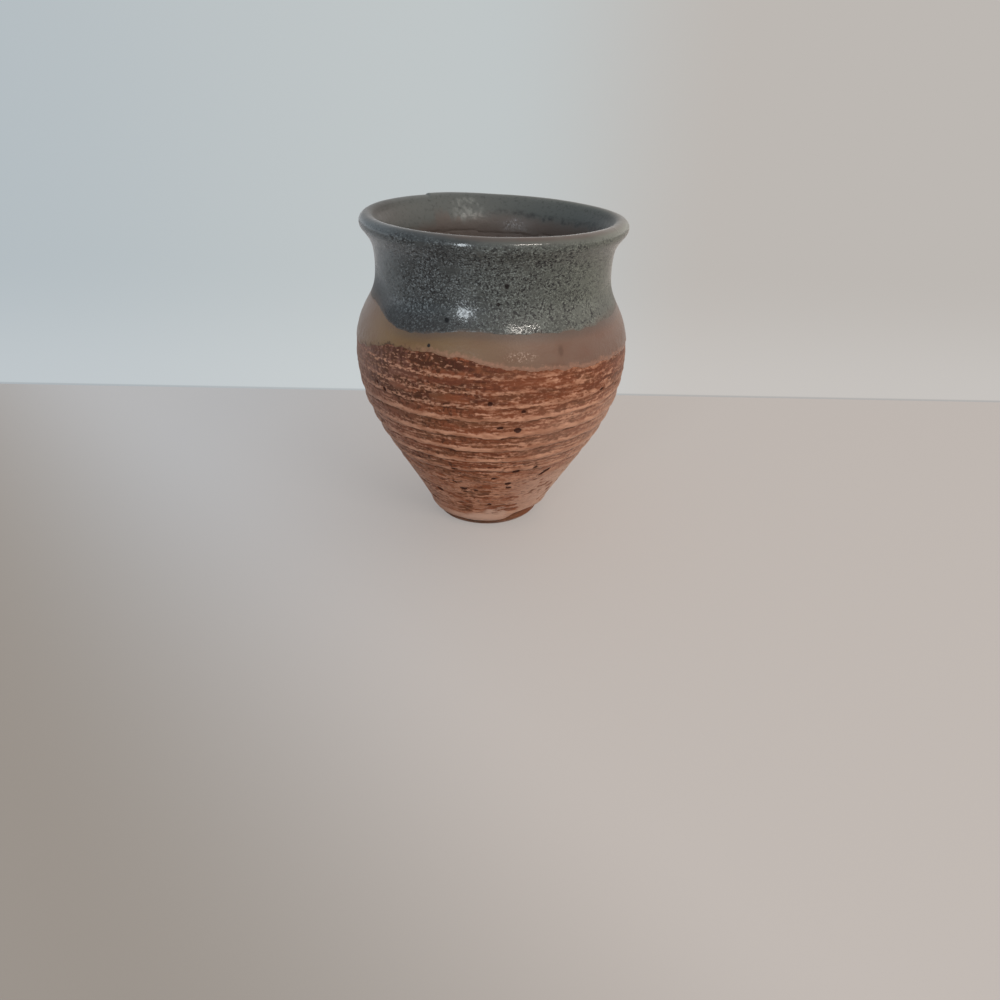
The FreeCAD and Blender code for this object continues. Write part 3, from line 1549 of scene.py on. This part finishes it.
@dataclass(frozen=True)
class ClayColours:
    """Where the clay's finish changes over the wall, as shares of its colours."""

    # The wash in the hollows, what the left side and the dark top add to it, and what the
    # thin lines take away
    hollow_wash: float = 0.58
    left_wash: float = 0.25
    heavy_wash: float = 0.45
    line_wash: float = 0.5
    # Below the ridges it lies thin all over, with blotches
    low_wash: float = 0.42
    low_span: Span = (28, 24)
    smear_wash: float = 0.9
    # It is thinner in a ring over the crease, and thicker under the crease
    ring_wash: float = 0.45
    ring_height: float = 2.2
    ring_edge: Span = (1.5, 0.5)
    ring_head: Span = (7, 5)
    under_wash: float = 0.5
    under_span: Span = (0.8, 1.5)
    # Smooth pale clay on the right, most of it low down
    right: Belt = Belt(((-80, 0), (12, 0), (28, 0.6), (60, 0.85), (100, 0.3), (150, 0.2)))
    clear_low: Span = (28, 20)
    clear_high: Span = (54, 44)
    clear_least: float = 0.3
    clear_more: float = 0.3
    clear_turns: Span = (46, 64)
    # Clay worn bare over the foot, and patches rubbed bare above it
    worn: Belt = Belt(((-60, 0), (-30, 0.6), (-15, 1), (12, 1), (28, 0.5), (60, 0)))
    worn_share: float = 0.85
    worn_height: float = 2
    worn_edge: Span = (1.9, 0.6)
    worn_head: Span = (7, 5.5)
    rubbed: tuple[Mark, ...] = (
        Mark(9, 6.5, 4.5, 4, 12),
        Mark(-4, 4, 6, 2.6),
    )
    rubbed_share: float = 0.9
    smooth_span: Span = (0, 1)
    # Cooler mauve clay at both sides: partly its own colour, partly painted sheen at the silhouettes
    mauve_and_edge_sheen: Belt = Belt(
        (
            (-150, 0), (-110, 0.4), (-80, 0.8), (-58, 0.75), (-40, 0.3), (-24, 0), (50, 0), (66, 0.35),
            (80, 0.45), (120, 0),
        ),
    )
    mauve_span: Span = (22, 34)
    mauve_least: float = 0.5
    mauve_even: float = 0.65
    mauve_head: Span = (48, 57)
    # Grit in the hollows, and soot most of all on the left
    grit_hollow: float = 0.2
    grit_span: Span = (22, 30)
    soot_least: float = 0.1
    soot_left: float = 0.75
    soot_turns: Span = (8, -20)
    soot_grit: float = 0.3
    soot_mauve: float = 0.7
    stain_span: Span = (55.4, 56.2)
    # Pale threads along the upper crests and thin lines
    thread_crest: Span = (0.5, 1)
    thread_line: float = 0.7
    thread_foot: Span = (48, 50)
    thread_head: Span = (62, 60)
    plain_share: float = 0.3
    plain_span: Span = (29, 24)
    # Fine dark dashes: everywhere, more in the hollows, and more below the ridges
    dash_head: Span = (50, 26)
    dash_foot: Span = (2, 6)
    dash_least: float = 0.35
    dash_hollow: float = 0.65
    dash_low: float = 0.4
    dash_low_span: Span = (30, 24)
    dash_right: float = 0.6
    # Painted shade in the undercut below each crest
    undercut_shade_share: float = 0.85
    # Painted shade in the crease, at the edge of the base, and under the crease but less on the right, where
    # more light falls
    base_shade_share: float = 0.5
    base_shade_span: Span = (1.1, 0.3)
    under_shade_share: float = 0.5
    under_shade_right: float = 0.35

    def values(self, place: Surface, spiral: Spiral, foot: Foot, wash: Wash) -> dict[str, Array]:
        """Values that the finish reads.

        Args:
            place: The surface without relief.
            spiral: The throwing ridge.
            foot: The crease over the foot.
            wash: The iron wash.

        Returns:
            Values by name, each by row and angle.
        """
        turn, height, above, left = place.turn, place.height, foot.above, wash.left
        right = self.right.at(turn)
        unbanded = 1 - wash.band
        mauve_and_edge_sheen = self.mauve_and_edge_sheen.at(turn) * np.maximum(ease(height, *self.mauve_span), self.mauve_least)
        mauve_and_edge_sheen = mauve_and_edge_sheen * (self.mauve_even + (1 - self.mauve_even) * ease(height, *self.mauve_head))
        grit = np.clip(self.grit_hollow * wash.hollow + wash.heavy, 0, 1) * ease(height, *self.grit_span)
        grit = grit * unbanded
        soot = self.soot_least + self.soot_left * left * ease(turn, *self.soot_turns) + self.soot_grit * grit
        thread = np.clip(ease(spiral.crest, *self.thread_crest) + self.thread_line * spiral.line, 0, 1)
        thread = thread * ease(height, *self.thread_foot) * ease(height, *self.thread_head)
        dash = self.dash_least + self.dash_hollow * wash.hollow * ease(height, *self.grit_span)
        dash = dash + self.dash_low * ease(height, *self.dash_low_span)
        dash = ease(height, *self.dash_head) * ease(above, *self.dash_foot) * dash
        # Painted shade: in the fold, at the base's edge, and under the crease, less on the right
        crease = foot.fold + self.base_shade_share * ease(height, *self.base_shade_span)
        crease = crease + (self.under_shade_share - self.under_shade_right * right) * foot.below
        return {
            "wash": self.washed(place, spiral, foot, wash),
            "mauve_and_edge_sheen": mauve_and_edge_sheen,
            "grit": grit,
            "soot": np.clip(soot, 0, 1) * unbanded * (1 - self.soot_mauve * mauve_and_edge_sheen),
            "stain": wash.band * ease(height, *self.stain_span) * left,
            "thread": thread * left,
            "plain": self.plain_share * ease(height, *self.plain_span) * (1 - wash.smear),
            "dashed": dash * (1 - self.dash_right * right),
            "smooth": self.smoothed(place, above, right) * (1 - wash.smear) * ease(above, *self.smooth_span),
            "seam_and_shade": self.undercut_shade_share * spiral.undercut * spiral.bare,
            "crease": np.clip(crease, 0, 1),
        }

    def washed(self, place: Surface, spiral: Spiral, foot: Foot, wash: Wash) -> Array:
        """Strength of the wash before its edge is made ragged.

        Args:
            place: The surface without relief.
            spiral: The throwing ridge.
            foot: The crease over the foot.
            wash: The iron wash.

        Returns:
            Values by row and angle.
        """
        height = place.height
        level = wash.hollow * (self.hollow_wash + self.left_wash * wash.left) + self.heavy_wash * wash.heavy
        level = level - self.line_wash * spiral.line * spiral.bare
        low = self.low_wash * ease(height, *self.low_span) + self.smear_wash * wash.smear
        level = np.maximum(level, low)
        ring = ease(abs(foot.above - self.ring_height), *self.ring_edge)
        level -= self.ring_wash * ring * ease(height, *self.ring_head)
        level = np.maximum(level, wash.band)
        return level + self.under_wash * foot.below * ease(height, *self.under_span)

    def smoothed(self, place: Surface, above: Array, right: Array) -> Array:
        """Clay rubbed smooth and pale.

        Args:
            place: The surface without relief.
            above: Height of each point over the crease.
            right: Smoothness of the right side at each angle.

        Returns:
            Values by row and angle.
        """
        height = place.height
        high = self.clear_least + self.clear_more * ease(place.turn, *self.clear_turns)
        clear = np.maximum(ease(height, *self.clear_low), high * ease(height, *self.clear_high))
        worn = self.worn_share * self.worn.at(place.turn)
        worn = worn * ease(abs(above - self.worn_height), *self.worn_edge) * ease(height, *self.worn_head)
        worn = np.maximum(worn, self.rubbed_share * place.cover(*self.rubbed))
        return np.maximum(right * clear, worn)


@dataclass(frozen=True)
class Coat:
    """Shared make-up of a glaze coat: a thin skin sunk a little into the clay."""

    thickness: float
    sunk: float = 0.3
    # Share of that depth at which the face starts, where the coat comes out of the clay
    edge_share: float = 0.8
    columns: int = 560
    back_step: float = 3

    def lifted(self, thick: Array | float, cover: Array) -> Array:
        """How far a face stands off the clay, from under it at the edge to its thickness."""
        low = self.sunk * self.edge_share
        return (thick + low) * cover - low

    def under(self, pot: Pot, back: Array, turn: Array) -> Array:
        """Points of the back, inside the clay."""
        return pot.placed(back, np.full((len(back), self.columns), -self.sunk), turn)

    def skin(
        self, name: str, pot: Pot, face: Array, back: Array, lift: Array, values: dict[str, Array]
    ) -> Skin:
        """Closed skin between a face and a back inside the clay.

        Args:
            name: Name of the piece.
            pot: The thrown form.
            face: Profile of the face.
            back: Profile of the back, which goes on where the face ends.
            lift: How far the face stands off the clay.
            values: What its finish reads on the face.

        Returns:
            The skin.
        """
        turn = turns(self.columns)
        spread = {}
        for key, value in values.items():
            whole = np.zeros((len(face) + len(back), self.columns))
            whole[: len(face)] = value
            spread[key] = whole
        points = np.vstack([pot.placed(face, lift, turn), self.under(pot, back, turn)])
        return Skin(name, points, Ends.RING, spread)

    def centres(self, pot: Pot, spots: tuple[Spot, ...]) -> dict[Place, float]:
        """Centre and radius of each spot on the coat."""
        return {pot.centre(spot, self.thickness): spot.radius for spot in spots}


@dataclass(frozen=True)
class NeckGlaze(Coat):
    """Second dip: the grey glaze from the upper dip line over the lip and a way inside."""

    thickness: float = 0.4
    inside_depth: float = 9.0
    # How far the skin goes on past that depth, to end inside the clay
    inside_spare: float = 4
    # Rows of the mesh, close round the dip line
    low: float = 65.5
    dip_top: float = 72
    dip_step: float = 0.4
    face_step: float = 1
    inside_step: float = 0.7
    face_lip_rows: int = 10
    back_lip_rows: int = 6

    # Height of the dip line, and how the coat thickens above it
    dip_line: Belt = Belt(
        (
            (-170, 69.6), (-110, 71.5), (-64, 72), (-54, 70.3), (-45, 68.2), (-36, 67.9), (-28, 68.3),
            (-17, 69.8), (-8, 70.3), (4, 69.9), (21, 69.6), (40, 69.4), (60, 69.5), (78, 70.2), (130, 70.6),
        ),
    )
    dip_grain: Grain = Grain(41, 3.5, 3.5, 2)
    dip_reach: float = 0.35
    inside_grain: Grain = Grain(42, 4, 9)
    inside_reach: float = 1.5
    edge_thick: float = 0.8
    more_thick: float = 0.2
    thick_span: Span = (0, 3.4)
    cover_span: Span = (-0.8, 0.5)
    swell: Grain = Grain(43, 6, 4, 2)
    swell_height: float = 0.02

    # Height inside at which the grey thins out over the brown liner
    run_line: Belt = Belt(
        (
            (-165, 88), (-148, 87.6), (-120, 86), (-60, 88), (60, 89), (100, 90), (130, 88.6), (150, 88.5),
            (175, 89.4),
        ),
        5,
    )
    drips: tuple[Mark, ...] = (
        Mark(-145, 90.5, 2.2, 5.5),
        Mark(-150, 87.5, 1.2, 4),
        Mark(-157, 86.5, 1, 2.5),
    )
    drip_reach: float = 2.4
    seam_and_shade: Belt = Belt(((-170, 0.2), (-120, 0), (60, 0.2), (120, 0.8), (150, 1), (175, 0.7)), 5)
    # Patch of painted highlight streaks on the inner wall, standing in for reflected light
    painted_glint_streaks: Mark = Mark(-163, 90.5, 5.5, 5)
    inside_span: Span = (95, 93.5)

    # Colour and speckle round the cup: the shift from slate to olive is partly painted cool and warm light
    olive_and_warm_light: Belt = Belt(((-60, 0), (-20, 0.05), (15, 0.6), (45, 1), (110, 0.8), (180, 0.4)), 12)
    busy: Belt = Belt(
        ((-180, 0.7), (-80, 0.15), (-52, 0.3), (-40, 1), (35, 1), (60, 0.55), (78, 0.15), (110, 0.7)),
    )
    busy_foot: Span = (-0.4, 0.7)
    busy_head: Span = (93.7, 92.3)
    # Painted pale sheen at the neck's silhouettes, where speckle is sparse
    painted_edge_sheen_share: float = 0.65
    painted_edge_sheen_span: Span = (71, 80)
    # Dark glaze pooled over the dip line on the left, and painted shade under the lip's flare at both sides
    left: Belt = Belt(((-120, 0.3), (-48, 1), (-16, 0.8), (6, 0.15), (60, 0.05), (150, 0.2)))
    pool_span: Span = (7, 1.5)
    pool_share: float = 0.6
    painted_lip_shade: Belt = Belt(((-130, 0), (-100, 1), (-65, 0.8), (-50, 0), (75, 0), (90, 0.5), (120, 0)))
    painted_lip_shade_share: float = 0.75
    painted_lip_shade_span: Span = (86, 91)
    painted_lip_shade_lean: Span = (0.9, 0.3)
    # Sides where the dip line is soft and the coat is dull over it
    soft: Belt = Belt(
        ((-140, 0), (-90, 1), (-62, 1), (-48, 0), (42, 0), (60, 0.9), (100, 0.9), (130, 0)),
    )
    fade_grain: Grain = Grain(45, 1.5, 1.2, 2)
    fade_reach: float = 0.4
    fade_soft: float = 1.9
    fade_span: Span = (1.1, -0.4)
    fade_share: float = 0.9
    dull_share: float = 1.2
    dull_soft: Span = (11, 4)
    dull_edge: Span = (0.9, 0.1)
    # Sides and back of the lip, where it is matt
    matt: Belt = Belt(((-100, 0.9), (-60, 0.6), (-35, 0), (45, 0), (70, 0.8), (180, 0.7)), 12)
    matt_span: Span = (92, 94)
    # Crown of the lip, where the coat breaks brown: how much higher it starts at the sides and
    # the back, and how brown it is
    crown_start: Belt = Belt(((-90, 1), (-30, 0.9), (-10, 0.1), (40, 0), (80, 0.4), (140, 1), (180, 1)), 10)
    front: Belt = Belt(
        ((-100, 0), (-60, 0.2), (-35, 0.8), (-20, 1), (60, 1), (100, 0.7), (180, 0.3)),
        12,
    )
    crown_span: Span = (93.4, 94.6)
    crown_grain: Grain = Grain(44, 4, 4, 2)
    crown_uneven: float = 0.3
    crown_share: float = 0.85
    spots: tuple[Spot, ...] = (
        Spot(7, 82.4, 1.0),
        Spot(3.6, 77.6, 0.8),
        Spot(-18.4, 72.9, 1.0),
        Spot(51, 72.8, 0.7),
        Spot(-31, 77.5, 0.6),
        Spot(120, 78, 0.9),
        Spot(-130, 84, 0.8),
        Spot(175, 74, 0.9),
    )

    def profiles(self, pot: Pot) -> tuple[Array, Array]:
        """Profiles of the coat.

        Args:
            pot: The thrown form.

        Returns:
            Profile of the face, and of the back.
        """
        end = pot.top - self.inside_depth - self.inside_spare
        face = [
            pot.outer(self.low, self.dip_top, self.dip_step),
            pot.outer(self.dip_top, pot.top, self.face_step)[1:],
            pot.lip(self.face_lip_rows),
            pot.inner(end, pot.top, self.inside_step),
        ]
        back = [
            pot.inner(end, pot.top, self.back_step)[::-1],
            pot.lip(self.back_lip_rows)[::-1],
            pot.outer(self.low, pot.top, self.back_step)[::-1],
        ]
        return np.vstack(face), np.vstack(back)

    def values(self, place: Surface, out: Array, inside: Array, gap: Array) -> dict[str, Array]:
        """Values that the finish reads.

        Args:
            place: The face without relief.
            out: How far each row faces out from the axis.
            inside: Whether each point lies inside the lip.
            gap: Height of each point over the dip line.

        Returns:
            Values by name, each by row and angle.
        """
        turn, height, points = place.turn, place.height, place.points
        busy, soft = self.busy.at(turn), self.soft.at(turn)
        rim = height - self.crown_start.at(turn)
        crown = self.front.at(turn) * ease(rim, *self.crown_span)
        crown = crown * (1 + self.crown_uneven * self.crown_grain.at(points))
        ragged = gap + self.fade_reach * self.fade_grain.at(points)
        fade = ease(ragged / (1 + self.fade_soft * soft), *self.fade_span) * ~inside
        # Painted shade under the lip's flare at both sides
        painted_lip_shade = self.painted_lip_shade_share * self.painted_lip_shade.at(turn)
        painted_lip_shade = painted_lip_shade * ease(height, *self.painted_lip_shade_span) * ease(out, *self.painted_lip_shade_lean)
        pool_and_shade = self.left.at(turn) * ease(gap, *self.pool_span) * self.pool_share * ~inside
        dull = np.maximum(soft * ease(gap, *self.dull_soft), ease(gap, *self.dull_edge))
        run = height - self.run_line.at(turn)
        for drip in self.drips:
            run -= self.drip_reach * place.cover(drip)
        return {
            "olive_and_warm_light": self.olive_and_warm_light.at(turn),
            "inside": np.where(out < 0, ease(height, *self.inside_span), 0),
            "run": run,
            "seam_and_shade": self.seam_and_shade.at(turn),
            "pool_and_shade": np.maximum(pool_and_shade, painted_lip_shade),
            "fade": self.fade_share * fade,
            "break": np.clip(self.crown_share * crown, 0, 1),
            "busy": busy * np.where(inside, 1, ease(gap, *self.busy_foot)) * ease(rim, *self.busy_head),
            "painted_edge_sheen": self.painted_edge_sheen_share * (1 - busy) * ease(height, *self.painted_edge_sheen_span),
            "painted_glint_streaks": place.cover(self.painted_glint_streaks) * inside,
            "dull": self.matt.at(turn) * ease(height, *self.matt_span) + self.dull_share * dull * ~inside,
        }

    def build(self, pot: Pot) -> bpy.types.Object:
        """Mesh of the coat with its finish.

        Args:
            pot: The thrown form.

        Returns:
            The piece.
        """
        face, back = self.profiles(pot)
        place = pot.surface(face, turns(self.columns))
        points, height, out = place.points, place.height, face[:, 2:3]
        inside = (out < 0) & (height < pot.top + 1)
        edge = self.dip_line.at(place.turn) + self.dip_reach * self.dip_grain.at(points)
        deep = height - (pot.top - self.inside_depth) + self.inside_reach * self.inside_grain.at(points)
        gap = np.where(inside, deep, height - edge)
        thickened = self.more_thick * np.where(inside, 1, ease(gap, *self.thick_span))
        lift = self.lifted(self.thickness * (self.edge_thick + thickened), ease(gap, *self.cover_span))
        lift += self.swell_height * self.swell.at(points)
        values = self.values(place, out, inside, gap)
        coat = self.skin("neck_glaze_coat", pot, face, back, lift, values).build()
        finish = SpeckledGlaze().material(self.centres(pot, self.spots))
        settle(coat, "neck_glaze", finish)
        return coat


@dataclass(frozen=True)
class ShoulderGlaze(Coat):
    """First dip: the tan glaze that shows between the two dip lines."""

    thickness: float = 0.28
    columns: int = 720
    # Rows of the mesh, close round the lower dip line
    low: float = 57
    dip_top: float = 65.5
    high: float = 71.5
    dip_step: float = 0.36
    face_step: float = 1
    dip_line: Belt = Belt(
        (
            (-175, 61.8), (-130, 61.6), (-90, 60.4), (-72, 59.2), (-62, 60.2), (-48, 63.6), (-36, 64.3),
            (-22, 64.8), (-14, 64.5), (-6, 63.6), (2, 62.3), (20, 61.2), (40, 60.3), (60, 60.0),
            (100, 59.7), (140, 60.6),
        ),
    )
    dip_grain: Grain = Grain(51, 2.6, 4, 3)
    dip_reach: float = 0.5
    cover_span: Span = (-0.5, 0.5)
    grit: Grain = Grain(52, 1.4, 1.4, 2)
    grit_height: float = 0.05
    grit_span: Span = (66, 63)
    # Mauve share round the cup; at the far left it is partly painted sheen at the silhouette
    mauve_and_edge_sheen: Belt = Belt(
        ((-95, 0.9), (-64, 0.8), (-48, 0), (-20, 0.15), (10, 0.75), (45, 1), (180, 0.4)),
        12,
    )
    dry: Belt = Belt(
        ((-100, 0.5), (-55, 0), (-34, 0), (-16, 1), (70, 0.8), (140, 0.6), (180, 0.8)),
        10,
    )
    # Painted pale sheen on the far left, where the painted shade under the upper coat is weaker too
    soft: Belt = Belt(((-140, 0), (-90, 1), (-50, 1), (-36, 0)))
    painted_left_sheen_share: float = 0.14
    shade_span: Span = (2.4, -0.2)
    shade_share: float = 0.7
    shade_soft: float = 0.5
    # Patch of painted glint
    painted_glint: Mark = Mark(12.5, 64.8, 4.8, 1.4)
    smudge: Mark = Mark(29, 65.6, 0.9, 1.5)
    smudge_share: float = 0.4
    spots: tuple[Spot, ...] = (
        Spot(-24, 66.4, 0.75),
        Spot(105, 65, 0.7),
        Spot(-150, 66, 0.6),
    )

    def build(self, pot: Pot) -> bpy.types.Object:
        """Mesh of the coat with its finish.

        Args:
            pot: The thrown form.

        Returns:
            The piece.
        """
        dipped = pot.outer(self.low, self.dip_top, self.dip_step)
        face = np.vstack([dipped, pot.outer(self.dip_top, self.high, self.face_step)[1:]])
        back = pot.outer(self.low, self.high, self.back_step)[::-1]
        place = pot.surface(face, turns(self.columns))
        turn, height = place.turn, place.height
        gap = height - (self.dip_line.at(turn) + self.dip_reach * self.dip_grain.at(place.points))
        lift = self.lifted(self.thickness, ease(gap, *self.cover_span))
        lift += self.grit_height * self.grit.at(place.points) * ease(height, *self.grit_span)
        soft = self.soft.at(turn)
        shade = ease(NeckGlaze().dip_line.at(turn) - height, *self.shade_span)
        values = {
            "mauve_and_edge_sheen": self.mauve_and_edge_sheen.at(turn),
            "dry": self.dry.at(turn),
            "painted_glint": place.cover(self.painted_glint),
            "edge": gap,
            "painted_left_sheen": self.painted_left_sheen_share * soft,
            "smudge": self.smudge_share * place.cover(self.smudge),
            "shade": shade * (self.shade_share - self.shade_soft * soft),
        }
        coat = self.skin("shoulder_glaze_coat", pot, face, back, lift, values).build()
        finish = SatinGlaze().material(self.centres(pot, self.spots))
        settle(coat, "shoulder_glaze", finish)
        return coat


@dataclass(frozen=True)
class LinerGlaze(Coat):
    """Coat poured into the hollow, up to the edge of the second dip."""

    thickness: float = 0.35
    reach: float = 85.2
    columns: int = 360
    face_step: float = 1.2
    back_step: float = 4
    face_floor_rows: int = 6
    back_floor_rows: int = 3
    swell: Grain = Grain(61, 7, 5, 2)
    swell_height: float = 0.06
    swell_span: Span = (84, 78)

    def lining(self, pot: Pot, step: float, floor_rows: int) -> Array:
        """Profile down the hollow's wall and along its floor."""
        return np.vstack([pot.inner(pot.hollow_foot, self.reach, step), pot.bottom(floor_rows)[:-1]])

    def build(self, pot: Pot) -> bpy.types.Object:
        """Mesh of the coat with its finish.

        Args:
            pot: The thrown form.

        Returns:
            The piece.
        """
        face = self.lining(pot, self.face_step, self.face_floor_rows)
        back = self.lining(pot, self.back_step, self.back_floor_rows)[::-1]
        place = pot.surface(face, turns(self.columns))
        swell = self.swell_height * self.swell.at(place.points)
        lift = self.thickness + swell * ease(place.points[..., 2], *self.swell_span)
        under = self.under(pot, back, place.turn)
        run = face[:, 1:2] - NeckGlaze().run_line.at(place.turn)
        values = {"run": np.vstack([np.zeros(under.shape[:2]), run])}
        points = np.vstack([under, pot.placed(face, lift, place.turn)])
        coat = Skin("liner_glaze_coat", points, Ends.POLES, values).build()
        settle(coat, "liner_glaze", BrownLiner().material())
        return coat


@dataclass(frozen=True)
class Lamp:
    """Soft lamp that faces the cup. Its distance and size are in metres, its power in watts."""

    name: str
    bearing: float
    rise: float
    size: tuple[float, float]
    power: float
    colour: Colour
    distance: float = 0.9
    aim_height: float = 0.07

    def build(self) -> None:
        """Places the lamp, facing the cup."""
        data = bpy.data.lights.new(self.name, "AREA")
        data.shape = "RECTANGLE"
        data.size, data.size_y = self.size
        data.energy = self.power
        data.color = self.colour
        angle, up = math.radians(self.bearing), math.radians(self.rise)
        out = Vector((math.sin(angle) * math.cos(up), -math.cos(angle) * math.cos(up), math.sin(up)))
        made = added(self.name, data)
        made.location = Vector((0, 0, self.aim_height)) + out * self.distance
        made.rotation_euler = out.to_track_quat("Z", "Y").to_euler()


@dataclass(frozen=True)
class Studio:
    """Pale table, soft lamps, pale surroundings and the camera. Places are in metres."""

    camera_place: Place = (0.00426, -0.24269, 0.13354)
    camera_pitch: float = 28.77
    camera_roll: float = 1.86
    lens: float = 28.8
    lamps: tuple[Lamp, ...] = (
        Lamp("window", -24, 12, (0.13, 0.36), 1.95, (0.86, 0.94, 1)),
        Lamp("room_light", 33, 37, (0.34, 0.042), 1.5, (1, 0.93, 0.86)),
    )

    # Table, with its colours over millimetres from the cup: painted cool light on the left, warm
    # light on the right, and painted shade towards the near left corner
    reach: float = 3.0
    table_cool_lit: Colour = tone(190, 191, 193)
    table_warm_lit: Colour = tone(197, 190, 185)
    table_shade: Colour = tone(158, 151, 144)
    table_rise: Rise = Rise(-130, 30)
    table_shade_slant: float = 0.9
    table_shade_rise: Rise = Rise(-80, -215)
    table_rough: float = 0.75
    table_specular: float = 0.2
    table_grain: Noise = Noise(1, 1)
    table_relief: float = 0.01
    # Share of the table's own colour that the camera sees, whatever the shadow on it
    even_share: float = 0.5

    # Wall, whose colours also lie over millimetres: painted cool light on the left, warm light on the right,
    # a painted glow at its paler foot and a painted shadow line along the joint
    wall_depth: float = 0.1023
    wall_turn: float = 2.16
    wall_cool_lit: Colour = tone(180, 189, 194)
    wall_middle: Colour = tone(192, 198, 199)
    wall_warm_lit: Colour = tone(189, 184, 179)
    middle_rise: Rise = Rise(-230, -10)
    warm_rise: Rise = Rise(-10, 95)
    foot_glow: Colour = (1, 1, 1)
    foot_glow_rise: Rise = Rise(60, 0, 0.12)
    joint_shadow: Colour = tone(110, 116, 122)
    joint_shadow_rise: Rise = Rise(1.2, 0.5, 0.3)

    # Daylight by direction: from left to right, and low behind the cup
    light_left: Colour = (0.31, 0.35, 0.39)
    light_right: Colour = (1.07, 0.98, 0.9)
    side_rise: Rise = Rise(-0.8, 0.8)
    low_left: Colour = (0.95, 1.0, 1.05)
    low_right: Colour = (1.2, 1.14, 1.06)
    behind_rise: Rise = Rise(-0.4, 0.3)
    low_rise: Rise = Rise(0.22, 0.0)

    def plane(self, name: str, corners: list[Place], material: bpy.types.Material) -> None:
        """Flat piece of the surroundings.

        Args:
            name: Name of the piece.
            corners: Its four corners.
            material: Its finish.
        """
        mesh = bpy.data.meshes.new(name)
        mesh.from_pydata(corners, [], [(0, 1, 2, 3)])
        mesh.materials.append(material)
        added(name, mesh)

    def table(self) -> None:
        """Flat pale table that the cup stands on."""
        make = Recipe(bpy.data.materials.new("pale_table"))
        x, y, _ = make.split(make.place)
        # Painted cool light on the left, warm light on the right, and painted shade towards the near left
        # corner
        colour = make.mix(make.rise(x, self.table_rise), self.table_cool_lit, self.table_warm_lit)
        near = make.plus(x, make.times(y, self.table_shade_slant))
        colour = make.mix(make.rise(near, self.table_shade_rise), colour, self.table_shade)
        relief = make.bump(make.noise(self.table_grain), self.table_relief)
        make.finish(colour, self.table_rough, relief, Specular_IOR_Level=self.table_specular)
        make.blend(make.times(make.camera_ray(), self.even_share), make.glow("ShaderNodeEmission", colour))
        far = self.reach
        self.plane("table", [(-far, -far, 0), (far, -far, 0), (far, far, 0), (-far, far, 0)], make.owner)

    def wall(self) -> None:
        """Pale wall behind the table, which only shows from its front."""
        make = Recipe(bpy.data.materials.new("pale_wall"))
        x, _, z = make.split(make.place)
        # Painted cool and warm light, a painted glow at the foot, and a painted shadow along the joint
        colour = make.layered(
            make.mix(make.rise(x, self.middle_rise), self.wall_cool_lit, self.wall_middle),
            (make.rise(x, self.warm_rise), self.wall_warm_lit),
            (make.rise(z, self.foot_glow_rise), self.foot_glow),
            (make.rise(z, self.joint_shadow_rise), self.joint_shadow),
        )
        make.close("ShaderNodeOutputMaterial", make.node("ShaderNodeBsdfTransparent"))
        behind = make.node("ShaderNodeNewGeometry").outputs["Backfacing"]
        make.blend(make.minus(make.camera_ray(), behind), make.glow("ShaderNodeEmission", colour))
        drift = self.reach * math.tan(math.radians(self.wall_turn))
        left, right = (-self.reach, self.wall_depth - drift), (self.reach, self.wall_depth + drift)
        corners = [(*left, 0), (*right, 0), (*right, self.reach), (*left, self.reach)]
        self.plane("wall", corners, make.owner)

    def surroundings(self) -> None:
        """Daylight from all round: pale behind the cup, and stronger from the right than the left."""
        bpy.context.scene.world = bpy.data.worlds.new("daylight")
        make = Recipe(bpy.context.scene.world)
        x, y, z = make.split(make.direction)
        side = make.rise(x, self.side_rise)
        low = make.times(make.rise(y, self.behind_rise), make.rise(z, self.low_rise))
        lit = make.mix(side, self.light_left, self.light_right)
        lit = make.mix(low, lit, make.mix(side, self.low_left, self.low_right))
        # The background seen straight on carries the wall's painted cool and warm light
        shown = make.mix(side, self.wall_cool_lit, self.wall_warm_lit)
        make.close("ShaderNodeOutputWorld", make.glow("ShaderNodeBackground", lit))
        make.blend(make.camera_ray(), make.glow("ShaderNodeBackground", shown))

    def camera(self) -> None:
        """Camera at the height and angle that the cup's outline was seen from."""
        data = bpy.data.cameras.new("camera")
        data.lens = self.lens
        made = added("camera", data)
        pitch = Matrix.Rotation(math.radians(90 - self.camera_pitch), 4, "X")
        roll = Matrix.Rotation(math.radians(self.camera_roll), 4, "Z")
        made.matrix_world = Matrix.Translation(self.camera_place) @ pitch @ roll
        bpy.context.scene.camera = made

    def build(self) -> None:
        """Table, wall, surroundings, lamps and camera."""
        self.table()
        self.wall()
        self.surroundings()
        for lamp in self.lamps:
            lamp.build()
        self.camera()
        bpy.context.scene.view_settings.view_transform = "Standard"


def main() -> None:
    """Builds the cup's pieces in order, then the studio round them."""
    logging.basicConfig(level=logging.INFO, format="%(name)s: %(message)s")
    pot = Pot()
    for piece in (ClayBody(), ShoulderGlaze(), NeckGlaze(), LinerGlaze()):
        made = piece.build(pot)
        log.info("%s: %d faces", made.name, len(made.data.polygons))
    Studio().build()


if __name__ == "__main__":
    main()
